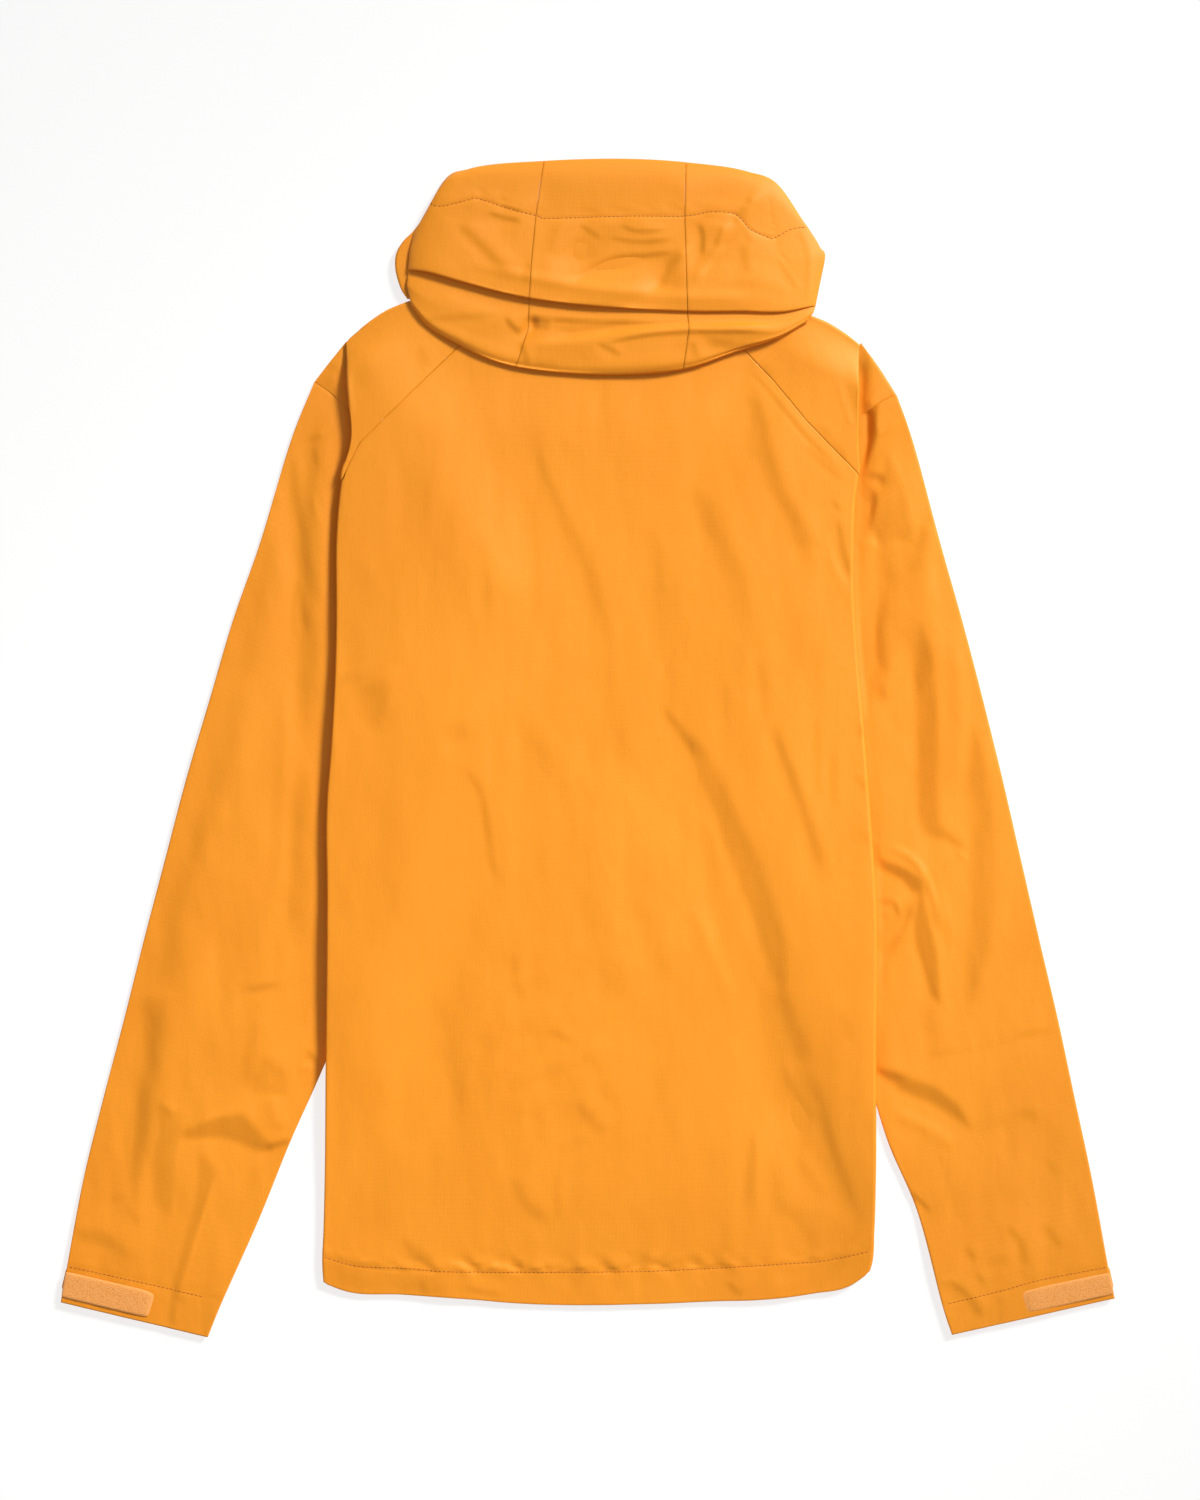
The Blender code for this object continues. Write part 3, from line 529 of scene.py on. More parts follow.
shellCloth = clothMaterial("shellCloth", shell["light"], shell["deep"])
zipWeave = clothMaterial("zipTape", (0.72, 0.27, 0.03), (0.62, 0.22, 0.02), 0.4)
loopPile = grainMaterial(
    "loopPile", "loops", (1100.0, 1.0), ((0.1, (0.95, 0.43, 0.13)), (0.8, (0.82, 0.31, 0.06))),
    {"Strength": 0.45, "Distance": 0.0006, "invert": True},
    Roughness=0.95, Specular_IOR_Level=0.1, Sheen_Weight=0.5,
)
patchBorder = grainMaterial(
    "patchBorder", "noise", (900.0, 2.0), ((0.35, (0.93, 0.36, 0.08)), (0.65, (0.97, 0.42, 0.11))),
    Roughness=0.8,
)
sewingThread = grainMaterial(
    "sewingThread", "noise", (700.0, 2.0), ((0.35, (0.42, 0.12, 0.006)), (0.7, (0.60, 0.19, 0.012))),
    Roughness=0.6,
)
hardBump = {"Strength": 0.12, "Distance": 0.0003}
zipPlastic = grainMaterial(
    "zipTeeth", "noise", (260.0, 3.0), ((0.35, (0.55, 0.20, 0.025)), (0.65, (0.68, 0.27, 0.04))),
    hardBump, Roughness=0.42,
)
sliderPaint = grainMaterial(
    "sliderPaint", "noise", (400.0, 3.0), ((0.35, (0.50, 0.20, 0.03)), (0.65, (0.66, 0.29, 0.05))),
    hardBump, Roughness=0.36,
)
print("materials made")


# ---- stage, light and camera

stage = {
    "cameraLens": 85.0,
    "planeZ": 7.0,       # height that the photograph's scale holds at
    "floorGap": 0.3,
    "floorHalf": 4.0,
    "keyPlace": (2.92, 2.80, 2.84),
    "keyAim": (0.10, -0.05, 0.0),
    "keySize": 0.8,
    "keyCone": 21.0,
    "keyPower": 2340.0,
    "fill": 0.36,
}


def makeStage():
    bm = bmesh.new()
    bmesh.ops.create_grid(bm, x_segments=2, y_segments=2, size=stage["floorHalf"])
    bmesh.ops.translate(bm, verts=bm.verts, vec=(0, 0, -stage["floorGap"] / 1000))
    floor = finishPiece("floor", bm, smooth=False)
    material, _, _, surface = nodeSet("paleFloor")
    surface(
        Base_Color=(0.26, 0.26, 0.26, 1.0), Roughness=0.9, Specular_IOR_Level=0.1,
        Emission_Color=(1.0, 1.0, 1.0, 1.0), Emission_Strength=0.76,
    )
    floor.data.materials.append(material)

    key = bpy.data.lights.new("key", "SPOT")
    key.shadow_soft_size = stage["keySize"]
    key.spot_size = math.radians(stage["keyCone"])
    key.spot_blend = 1.0
    key.energy = stage["keyPower"]
    key.color = (1.0, 0.985, 0.96)
    lamp = bpy.data.objects.new("key", key)
    lamp.location = stage["keyPlace"]
    towards = Vector(stage["keyPlace"]) - Vector(stage["keyAim"])
    lamp.rotation_euler = towards.to_track_quat("Z", "Y").to_euler()
    scene.collection.objects.link(lamp)

    world = bpy.data.worlds.new("studio")
    world.use_nodes = True
    background = world.node_tree.nodes["Background"]
    background.inputs["Color"].default_value = (1.0, 0.995, 0.985, 1.0)
    background.inputs["Strength"].default_value = stage["fill"]
    scene.world = world

    camera = bpy.data.cameras.new("camera")
    camera.lens = stage["cameraLens"]
    camera.sensor_width = 36.0
    camera.clip_end = 50.0
    eye = bpy.data.objects.new("camera", camera)
    middle = onPlan((photo["wide"] / 2, photo["high"] / 2))
    away = photo["high"] * photo["mmPerPixel"] * camera.lens / camera.sensor_width
    eye.location = (middle[0] / 1000, middle[1] / 1000, (away + stage["planeZ"]) / 1000)
    scene.collection.objects.link(eye)
    scene.camera = eye


makeStage()
print("stage, light and camera made")


# ---- back panel

back = {
    "cells": (6, 9, 176, 9, 6),     # strip, rolled edge, top, rolled edge, strip
    "hemTurn": 24.0,
    "hemBand": 27.0,
    "hemRows": (5, 3, 24),          # turned in, round the edge, the band
    "rows": 250,
    "long": 690.0,                  # rough size of the top, for the spacing of its outer rows
    "wide": 400.0,
    "edgeShare": 0.0075,            # how much of the width each rolled edge takes
    "crumple": 1.25,
    "waves": (0.35, 46.0),          # height and size of the broad soft waves
    "crinkled": ((-22, 62), (-225, 85)),     # middle and half size of the crinkled part
    "crinkles": ((0.5, 9.0), (0.16, 4.5)),
    "gathers": 1.3,
    "groove": (0.2, 1.2),           # depth and half width of the stitched line
    "slopes": (
        # half width (at start and end), slope, then points down the photograph
        ((2.5, 8.0), 0.15, (528, 425), (539, 461), (564, 517), (586, 567), (606, 630), (614, 674)),
        ((8.0, 10.0), 0.10, (604, 640), (618, 715), (636, 790)),
        (4.0, 0.07, (532, 482), (536, 533), (539, 580), (536, 645)),
        (3.0, 0.06, (440, 411), (432, 461), (428, 505), (425, 535)),
        (3.0, 0.05, (454, 500), (450, 566)),
        (4.5, 0.06, (470, 530), (486, 567), (489, 622)),
        ((4.0, 7.0), 0.13, (752, 376), (758, 400), (765, 440), (776, 480), (790, 515), (806, 555),
         (817, 600)),
        (2.2, 0.16, (806, 446), (844, 483)),
        ((1.8, 2.4), 0.30, (838, 515), (842, 542), (850, 582)),
        (2.0, 0.22, (831, 499), (841, 514)),
        (2.5, -0.14, (828, 528), (834, 560), (848, 586), (854, 588)),
        ((5.0, 8.0), 0.06, (697, 486), (706, 517), (728, 561), (741, 589), (750, 621), (757, 670)),
        (8.0, 0.07, (647, 524), (656, 561), (660, 607)),
        (4.0, 0.07, (800, 605), (800, 676)),
        ((1.4, 3.5), 0.26, (660, 703), (672, 719), (684, 735), (697, 762)),
        ((3.5, 6.0), 0.24, (769, 714), (781, 748), (797, 791), (809, 829), (819, 862), (826, 890)),
        (5.0, 0.06, (725, 676), (728, 724)),
        (6.0, 0.07, (756, 655), (769, 724)),
        (3.0, 0.12, (816, 713), (818, 760), (819, 802)),
        (2.5, 0.16, (833, 745), (834, 812)),
        (3.0, 0.21, (454, 763), (470, 776), (481, 794), (487, 822), (492, 860), (501, 893)),
        ((7.0, 13.0), 0.10, (504, 690), (530, 735), (556, 775), (574, 815), (586, 867), (597, 935),
         (600, 980)),
        (4.0, 0.08, (579, 775), (595, 812)),
        (7.0, 0.07, (631, 888), (656, 941), (669, 990)),
        (5.0, 0.09, (514, 948), (520, 1006)),
        (2.0, 0.20, (336, 691), (351, 676), (366, 683)),
        (7.0, 0.08, (367, 683), (384, 707), (379, 740)),
        (3.0, 0.08, (367, 565), (372, 588)),
        ((6.0, 6.0), 0.17, (778, 985), (788, 1012), (798, 1040), (808, 1068)),
        ((6.0, 3.0), 0.20, (806, 1062), (818, 1098), (829, 1135), (842, 1170), (856, 1205), (869, 1238)),
        ((3.0, 5.0), 0.14, (783, 1062), (792, 1086), (805, 1108), (819, 1130)),
        (5.0, 0.09, (840, 1006), (853, 1045)),
        (3.5, 0.18, (752, 1128), (750, 1170), (746, 1213)),
        (5.0, 0.11, (774, 1194), (790, 1211), (803, 1221), (818, 1251)),
        (5.5, 0.07, (590, 1052), (609, 1089), (624, 1107)),
        (6.0, 0.08, (444, 1042), (454, 1083), (460, 1107)),
        (6.0, 0.06, (372, 1065), (382, 1113)),
        (2.5, 0.20, (541, 1027), (566, 1039), (577, 1047)),
        (4.0, 0.18, (576, 1100), (594, 1124), (608, 1134)),
        (5.0, 0.20, (513, 1172), (526, 1205), (552, 1223)),
        (1.8, 0.12, (558, 1165), (558, 1226)),
        (2.5, 0.18, (401, 1234), (413, 1255), (437, 1262)),
        (2.2, 0.24, (422, 1279), (427, 1296)),
        (3.0, 0.18, (466, 1288), (504, 1297)),
        (2.2, 0.30, (727, 1281), (735, 1289), (744, 1297)),
        (5.0, 0.14, (855, 1243), (835, 1268), (809, 1292)),
        (8.0, 0.08, (436, 985), (456, 1060), (462, 1143)),
        (2.4, 0.16, (404, 1240), (416, 1252), (436, 1258)),
        (1.8, 0.12, (520, 1266), (560, 1268), (610, 1266), (655, 1262)),
        (3.0, 0.16, (330, 1250), (352, 1262), (392, 1266)),
        (2.4, 0.12, (636, 1250), (652, 1262), (690, 1266)),
        (2.4, 0.12, (690, 1252), (706, 1264), (745, 1264)),
        (2.2, 0.21, (856, 738), (867, 723)),
        (1.8, 0.20, (855, 775), (866, 790)),
        (2.0, 0.18, (860, 830), (868, 844)),
    ),
    "facets": (
        # softness of the rim, slope, and the outline
        (3.2, 0.17, (684, 735), (703, 785), (716, 816), (731, 866), (747, 904), (762, 944), (772, 972),
         (783, 992), (790, 975), (784, 935), (772, 898), (758, 862), (742, 826), (724, 785), (705, 750),
         (694, 736)),
        (5.0, 0.05, (709, 754), (731, 785), (766, 850), (787, 915), (800, 972), (790, 960), (760, 880),
         (730, 810)),
        (9.0, 0.06, (330, 985), (362, 990), (378, 1090), (392, 1225), (332, 1240)),
        (7.0, 0.05, (352, 560), (392, 600), (400, 660), (360, 700), (344, 640)),
        (6.0, -0.07, (762, 1090), (800, 1130), (850, 1225), (800, 1200), (765, 1150)),
        (8.0, -0.05, (630, 790), (680, 830), (715, 930), (700, 980), (660, 900)),
        (5.0, 0.10, (748, 400), (762, 400), (772, 450), (800, 510), (818, 545), (800, 548), (772, 500),
         (756, 450)),
        (7.0, 0.10, (690, 490), (712, 500), (745, 570), (762, 640), (770, 690), (745, 690), (725, 600)),
        (3.0, 0.12, (446, 724), (466, 720), (470, 738), (450, 742)),
        (4.0, 0.14, (360, 690), (372, 680), (392, 680), (386, 712), (372, 728), (362, 715)),
        (6.0, 0.07, (586, 958), (622, 962), (628, 1000), (600, 1008)),
        (6.0, 0.12, (322, 1262), (402, 1270), (440, 1275), (445, 1296), (345, 1290), (322, 1282)),
    ),
    "ridges": (
        (2.2, 0.35, (455, 357), (415, 397), (366, 447)),
        (0.9, -0.30, (452, 366), (414, 405), (376, 446), (352, 476)),
        (2.2, 0.30, (752, 366), (800, 424), (846, 474)),
        (0.9, -0.30, (744, 366), (778, 406), (810, 446), (842, 478)),
        (2.5, 0.35, (358, 448), (364, 452)),
        (3.0, 0.22, (598, 858), (608, 876), (614, 886)),
        (6.0, 0.35, (690, 900), (715, 960), (735, 1010)),
        (8.0, 0.50, (700, 800), (725, 880), (750, 960)),
        (1.6, 0.22, (757, 1130), (758, 1175), (757, 1208)),
        (6.0, 0.35, (800, 1150), (830, 1200)),
    ),
    "hemLine": ((322, 357, 463, 620, 722, 784, 824, 871), (1256, 1266, 1272, 1272, 1268, 1264, 1261, 1251)),
}


hemFolds = {
    "high": 0.75,
    "above": (5.5, 6.0),      # middle and half width of the gathered band, from the stitching
    "below": (-8.0, 7.0),
    "belowHigh": 0.22,
    "calm": 0.35,             # share of the height that is left at both ends
    "end": (150, 60),
}


def hemPuckers(x, y):
    # the cloth gathers in short uneven folds just above the hem's stitching
    line = curveThrough(*back["hemLine"], x / photo["mmPerPixel"] + photo["middleX"])
    above = y - (photo["middleY"] - line) * photo["mmPerPixel"]
    band = bell(above, *hemFolds["above"])
    gathers = softNoise(x + 0.8 * above, above * 0.6, 8.5, 41) + 0.5 * softNoise(x - above, above, 4.5, 42)
    below = bell(above, *hemFolds["below"]) * softNoise(x, above * 0.4, 15.0, 43) * hemFolds["belowHigh"]
    end, fade = hemFolds["end"]
    strength = mix(hemFolds["calm"], 1.0, ease((x + end) / fade) * ease((end - x) / fade))
    return hemFolds["high"] * band * gathers * strength + below, above


backShade = shadeRelief((-205, 222, -424, 316), back["slopes"], back["facets"])


def backRelief(x, y):
    height = backShade(x + softNoise(x, y, 22.0, 5), y) + ridgeHeight(x, y, back["ridges"])
    height += back["crumple"] * crumple(x, y, 11)
    high, size = back["waves"]
    height += high * softNoise(x * 0.9 + y * 0.35, y * 0.3 - x * 0.1, size, 7)
    crinkled = bell(x, *back["crinkled"][0]) * bell(y, *back["crinkled"][1])
    turned, across = x * 0.8 + y * 0.6, y * 0.8 - x * 0.6
    (high, size), (fineHigh, fineSize) = back["crinkles"]
    crinkles = high * softNoise(turned * 0.35, across, size, 8)
    height += crinkled * (crinkles + fineHigh * softNoise(turned * 0.6, across * 0.8, fineSize, 9))
    gathers, above = hemPuckers(x, y)
    deep, wide = back["groove"]
    return height + back["gathers"] * gathers - deep * bell(above, 0, wide)


def makeBack():
    hemRows, inner = back["hemRows"], back["edgeShare"]

    def place(u, v):
        part, share = spans(u, *back["cells"])
        rowPart, up = spans(v, *hemRows, back["rows"])
        turned = rowPart == 0
        band = np.select(
            [turned, rowPart == 1, rowPart == 2],
            [back["hemTurn"] * (1 - up), 0.0, back["hemBand"] * up], back["hemBand"],
        )
        inset = np.select([turned, rowPart == 1], [1.0, 1.0 - up], 0.0)
        climb = np.where(rowPart == 3, fineEnds(up, back["rows"], back["long"]), 0.0)
        band = np.where(rowPart == 1, -0.5 * np.sin(math.pi * up), band)
        across = np.select([part < 2, part > 2], [0.0, 1.0], share)
        spaced = fineEnds(across, back["cells"][2], back["wide"], (0.0, 0.8, 1.8))
        across = np.where(part == 2, spaced, across)
        y = np.zeros(u.shape)
        for _ in range(8):
            left, right = bodyEdge("left", y), bodyEdge("right", y)
            spot = np.where(part == 2, mix(inner, 1 - inner, across), across)
            x = mix(left, right, spot)
            low = hemAt(x)
            y = low + band + climb * (topAt(x) - low - band)
        under = stripLevel(x, y)
        over = backLevel(x, y) + backRelief(x, y)
        seam = seamDrop((1 - climb) * back["long"], 0.45, 1.2) * (rowPart == 3)
        inward = np.where(part > 2, -1.0, 1.0)
        turn = np.where(part == 1, share, 1 - share)
        rollX, rollZ = rolled(x, inward, under, over, turn, inset)
        reach = np.where(part == 0, 1 - share, share)
        stripX = x + inward * mix(half + (over - under) / 2 * squash, stripWidth(y), reach)
        flatX = np.where(part == 2, x, stripX)
        flatZ = np.where(part == 2, over - inset - seam, stripLevel(stripX, y) + inset)
        rolling = (part == 1) | (part == 3)
        return np.where(rolling, rollX, flatX), y, np.where(rolling, rollZ, flatZ)

    piece = clothPiece("backPanel", sum(back["cells"]), sum(hemRows) + back["rows"], place, (0.60, 0.76))
    dress(piece, shellCloth, "shell", "back_panel")
    return piece


backPanel = makeBack()
print("back panel made")


# ---- front panels, on the side that the jacket lies on

fronts = {
    "cells": (46, 22, 8, 14),     # from the zip to the armhole, to the fold, the fold, folded under
    "rows": (110, 40),            # below and above the armhole
    "zipSlot": 5.0,
    "neckY": 257.0,
    "hemGap": 2.0,
    "armpitGap": 2.0,
    "armpitBend": 28.0,
    "seamGap": 0.8,
    "uneven": 0.25,
}

yokes = {
    "left": {
        "back": ((-89, 314), (-125, 279), (-150, 254), (-173, 231), (-186, 204)),
        "ridge": ((-136, 341), (-153, 334), (-169, 323), (-181.5, 311)),
        "front": ((-88, 266), (-97, 226), (-102, 186), (-105.5, 146)),
    },
    "right": {
        "back": ((112, 311), (141, 280), (166, 249), (190, 224), (206, 208)),
        "ridge": ((168, 331), (183, 325), (196, 317), (207.5, 308)),
        "front": ((106, 266), (115, 226), (120, 186), (123.5, 146)),
    },
    "ridgeHigh": 5.15,
    "rise": 34.0,
    "long": 60.0,
    "tuck": 14.0,
    "crumple": 0.7,
    "seamGap": 0.1,
    "edgeGap": 1.5,
    "least": 1.4,
    "pleat": (0.12, 3.0),      # how far it is closed at the shoulder, and where it starts to open
    "cells": (64, 10, 4),
    "rows": (44, 12, 30),
}


def makeFront(side):
    inward = 1 if side == "left" else -1
    cells, rows, armpitY = fronts["cells"], fronts["rows"], layers["armpitY"]
    zipX = body["centreX"] - inward * fronts["zipSlot"]
    seam = yokes[side]["front"]
    armpit = innerEdge(side, armpitY) + inward * fronts["armpitGap"]

    def place(u, v):
        part, share = spans(u, *cells)
        row, up = spans(v, *rows)

        def heightAt(x, top):
            hem = hemAt(x) + fronts["hemGap"]
            return np.where(row == 0, mix(hem, armpitY, up), mix(armpitY, top, up))

        innerY = heightAt(mix(zipX, seam[0][0], share), mix(fronts["neckY"], seam[0][1], share))
        seamX = curveThrough(column(seam, 1), column(seam, 0), innerY) + inward * fronts["seamGap"]
        aboveArmpit = mix(armpit, seamX, ease((innerY - armpitY) / fronts["armpitBend"]))
        innerX = mix(zipX, np.where(innerY > armpitY, aboveArmpit, armpit), share)
        outerY = heightAt(bodyEdge(side, np.zeros(u.shape)), 0.0)
        edge = bodyEdge(side, outerY)
        stripZ = stripLevel(edge, outerY) + layer
        over, radius = stripZ + layer, layer / 2
        backRadius = (over + layer - stripLevel(edge, outerY)) / 2
        foldX = edge + inward * (backRadius - radius)
        middleX = foldX + inward * (half + radius)
        rollX, rollZ = rolled(foldX, inward, stripZ, over, 1 - share, 0.0)
        flapX = mix(middleX, edge + inward * (stripWidth(outerY) - 1), share)
        wideX = mix(armpit, middleX, share)
        x = np.select([part == 0, part == 1, part == 2], [innerX, wideX, rollX], flapX)
        y = np.where(part == 0, innerY, outerY)
        level = frontLevel(x, y) + np.where(part == 0, humpAt(x, y), 0.0)
        level = level + fronts["uneven"] * (1 + crumple(x, y, 61)) * ease((level - 0.8) / 2)
        z = np.select([part < 2, part == 2], [level, rollZ], stripLevel(x, y) + layer)
        return x, y, z

    shareUp, shareIn = rows[0] / sum(rows), cells[0] / sum(cells)
    piece = clothPiece(
        "front" + side.capitalize(), sum(cells), sum(rows), place, (0.30, 0.66),
        flip=side == "left", cut=lambda u, v: u > shareIn and v > shareUp,
    )
    dress(piece, shellCloth, "shell", "front_" + side)
    return piece


for side in ("left", "right"):
    makeFront(side)
print("fronts made")


# ---- sleeves, yoke tips and what is sewn on the cuffs

sleeveShape = {
    "cells": (5, 92, 10, 22, 5),     # outer edge, top, inner edge, underside, outer edge
    "rows": 296,
    "cuffTurn": 0.7,                 # hem turned in at the cuff, in stations
    "cuffRows": (5, 3),
    "station": 55.0,                 # rough distance between stations
    "crumple": 1.4,
    "waves": (0.5, 34.0),
    "groove": (0.2, 1.2),
    "gathers": (0.22, 4.0, 5.0, 7.0),     # height, place and half width beside the stitches, size
    "limits": (-2.4, 3.2),
    "left": {"seed": 101, "box": (-402, -100, -450, 340)},
    "right": {"seed": 131, "box": (118, 404, -450, 340)},
}

sleeveCreases = {
    "left": {
        "slopes": (
            ((2.0, 6.0), 0.24, (289, 444), (293, 470), (297, 510), (306, 560), (313, 612)),
            (11.0, 0.26, (322, 400), (315, 450), (310, 510), (308, 570), (308, 640), (306, 710),
             (304, 760)),
            (10.0, 0.16, (302, 760), (299, 820), (297, 900), (297, 960)),
            (1.8, 0.29, (307, 441), (322, 434)),
            (2.0, 0.21, (312, 446), (317, 467)),
            (2.0, 0.26, (268, 505), (280, 501)),
            (9.0, 0.13, (277, 515), (268, 560), (256, 615), (246, 665), (238, 700)),
            ((3.0, 6.0), 0.20, (295, 575), (304, 615), (311, 636)),
            (10.0, 0.13, (243, 680), (232, 730), (220, 775), (206, 820)),
            (11.0, 0.14, (215, 790), (190, 862), (170, 940), (158, 1005)),
            ((10.0, 6.0), 0.14, (163, 985), (152, 1041), (144, 1090), (138, 1140), (135, 1190)),
            (5.0, 0.09, (243, 893), (252, 905), (254, 963)),
            (2.6, 0.28, (243, 990), (260, 988), (279, 984)),
            ((3.0, 2.2), 0.42, (266, 1153), (272, 1147), (279, 1144), (292, 1141)),
            (5.0, 0.12, (266, 1054), (281, 1074), (283, 1105)),
            (6.0, 0.12, (256, 1017), (248, 1056), (244, 1096)),
            (2.2, 0.38, (304, 1052), (320, 1063)),
            (3.5, 0.13, (108, 1201), (127, 1197)),
            (4.0, 0.13, (125, 1204), (139, 1227)),
            (2.5, 0.17, (181, 1296), (186, 1306)),
        ),
        "facets": (
            (2.5, 0.30, (183, 1134), (200, 1123), (225, 1116), (244, 1114), (253, 1125), (263, 1138),
             (273, 1146), (266, 1153), (250, 1149), (225, 1138), (203, 1139), (188, 1139)),
            (5.0, 0.15, (141, 1000), (166, 1000), (158, 1078), (153, 1103), (141, 1175), (134, 1200),
             (129, 1175), (131, 1125), (144, 1063)),
            (2.5, 0.16, (158, 1102), (178, 1113), (181, 1131), (172, 1175), (170, 1219), (153, 1203),
             (150, 1175), (159, 1131)),
            (2.5, 0.18, (200, 1150), (216, 1170), (206, 1200), (188, 1250), (175, 1325), (168, 1322),
             (178, 1262), (194, 1200), (198, 1172)),
            (4.0, 0.14, (266, 1056), (284, 1072), (278, 1094), (252, 1094), (253, 1075)),
            (3.5, 0.20, (72, 1231), (97, 1230), (112, 1237), (133, 1259), (106, 1247), (81, 1241)),
        ),
        "ridges": (
            (2.0, 0.40, (311, 494), (320, 526)),
            (2.2, 0.35, (198, 1147), (206, 1140)),
            (7.0, 0.7, (285, 660), (284, 760), (279, 860), (272, 930)),
            (2.6, 0.45, (296, 1070), (314, 1066)),
            (2.0, 0.30, (214, 1174), (200, 1222), (183, 1284)),
            (2.5, 0.35, (160, 1102), (176, 1114)),
            (7.0, 0.60, (272, 1095), (278, 1130)),
        ),
    },
    "right": {
        "slopes": (
            ((7.0, 3.0), 0.45, (874, 348), (876, 385), (871, 425), (866, 470)),
            (5.0, 0.37, (884, 392), (880, 420), (882, 440)),
            (2.4, 0.45, (868, 475), (878, 476), (888, 483)),
            (2.4, 0.45, (874, 488), (876, 502), (869, 527), (863, 539)),
            (2.0, -0.45, (860, 540), (870, 538), (881, 545)),
            (2.0, 0.23, (926, 517), (934, 520)),
            (5.0, 0.15, (926, 522), (919, 552), (912, 579)),
            (8.0, 0.10, (897, 557), (884, 606), (876, 646), (879, 672)),
            (3.0, 0.17, (883, 684), (883, 701)),
            (3.0, 0.24, (875, 841), (878, 870)),
            (1.8, 0.32, (877, 903), (893, 903), (900, 919)),
            (2.6, 0.40, (913, 901), (905, 930), (880, 962)),
            (1.6, 0.19, (879, 915), (890, 917)),
            (4.0, 0.13, (1019, 1109), (1042, 1119)),
            (1.5, 0.14, (922, 1054), (955, 1052)),
            (2.0, 0.12, (1010, 1037), (1032, 1033), (1056, 1030)),
            (1.8, 0.40, (910, 1191), (922, 1202), (933, 1213)),
            (2.5, 0.29, (964, 1248), (975, 1260)),
            (2.5, 0.25, (976, 1273), (985, 1285)),
            (4.0, 0.23, (1005, 1225), (1021, 1243), (1026, 1270)),
            (2.5, 0.21, (986, 1266), (1007, 1256)),
            (3.5, 0.17, (1043, 1225), (1066, 1250)),
            (3.5, 0.12, (1049, 1160), (1057, 1176)),
            (4.0, 0.29, (948, 1283), (966, 1294), (985, 1320)),
            (6.0, 0.10, (935, 985), (928, 1040)),
            (2.0, 0.04, (925, 1056), (980, 1048), (1055, 1028)),
            (6.0, 0.05, (968, 1130), (1010, 1120), (1045, 1122)),
            (4.0, 0.30, (866, 1066), (885, 1072), (910, 1080)),
        ),
        "facets": (
            (3.0, 0.45, (861, 405), (873, 410), (878, 434), (869, 459), (861, 474)),
            (3.0, 0.20, (887, 455), (897, 471), (906, 502), (914, 527), (914, 543), (897, 540),
             (881, 545), (869, 535), (873, 515), (880, 490)),
            (2.5, 0.22, (870, 487), (879, 490), (875, 515), (864, 530)),
            (5.0, 0.15, (878, 545), (912, 545), (928, 521), (931, 540), (925, 577), (928, 621),
             (935, 668), (918, 690), (905, 640), (890, 660), (885, 700), (872, 700), (868, 640),
             (880, 600)),
            (4.0, 0.14, (881, 585), (888, 610), (884, 650), (888, 672), (872, 660), (873, 625)),
            (4.0, 0.24, (920, 625), (932, 655), (937, 690), (938, 774), (939, 825), (961, 842),
             (964, 850), (945, 840), (924, 834), (918, 810), (918, 742), (916, 680)),
            (6.0, 0.20, (976, 730), (992, 774), (996, 836), (996, 899), (988, 960), (970, 1000),
             (972, 930), (972, 836), (966, 774)),
            (2.0, 0.40, (880, 859), (902, 867), (922, 880), (922, 892), (911, 892), (902, 880), (883, 870)),
            (2.5, 0.36, (922, 892), (938, 949), (940, 1004), (930, 992), (917, 946), (914, 917)),
            (3.0, 0.18, (936, 874), (952, 930), (950, 946), (940, 915)),
            (3.5, 0.34, (878, 1070), (905, 1077), (935, 1086), (960, 1105), (970, 1128), (955, 1118),
             (930, 1102), (900, 1090)),
        ),
        "ridges": (
            (4.0, 0.75, (884, 845), (911, 858), (927, 880), (939, 914), (945, 945)),
            (3.0, 0.55, (866, 505), (866, 530)),
            (2.4, 0.50, (940, 1282), (958, 1280)),
            (3.0, 0.35, (958, 850), (968, 862)),
            (6.0, 0.55, (890, 1110), (930, 1130), (960, 1150)),
            (8.0, 0.70, (955, 640), (960, 720), (955, 800)),
            (1.6, 0.14, (878, 900), (894, 899), (903, 914)),
        ),
    },
}


def readRows(rows, index):
    marks = np.arange(len(rows))
    return [curveThrough(marks, column(rows, number), index) for number in range(6)]


def tubePoint(rows, cells, index, around, lift=None, inset=0.0, relief=None):
    # a point of a flattened tube: around runs from the middle of the outer edge over the top
    outerX, outerY, innerX, innerY, bow, high = readRows(rows, index)
    radius = (high - layers["wall"]) / 2
    wide = np.hypot(innerX - outerX, innerY - outerY)
    dirX, dirY = (innerX - outerX) / wide, (innerY - outerY) / wide
    side = radius * squash
    flat = wide - 2 * (half + side)
    low = half + (lift(outerX, outerY) if lift else 0.0)
    middle, reach = low + radius, radius - inset
    part, share = spans(around, *cells)
    on = [part == number for number in range(4)]
    quarter, whole = math.pi / 2 * share, math.pi * share
    start, thin = half + side, reach * squash
    run = np.select(on, [
        start - thin * np.cos(quarter),
        start + flat * share,
        start + flat + thin * np.sin(whole),
        start + flat * (1 - share),
    ], start - thin * np.sin(quarter))
    z = np.select(on, [
        middle + reach * np.sin(quarter),
        middle + reach,
        middle + reach * np.cos(whole),
        middle - reach,
    ], middle - reach * np.cos(quarter))
    x, y = outerX + dirX * run, outerY + dirY * run
    way = np.clip(run / wide, 0, 1)
    y = y + bow * 4 * way * (1 - way)
    if relief is not None:
        upper = np.select(on[:3], [np.sin(quarter), 1.0, np.clip(np.cos(whole), 0, 1)], 0.0)
        z = np.maximum(z + relief(x, y) * upper, low + 0.5 * (upper > 0))
    return x, y, z


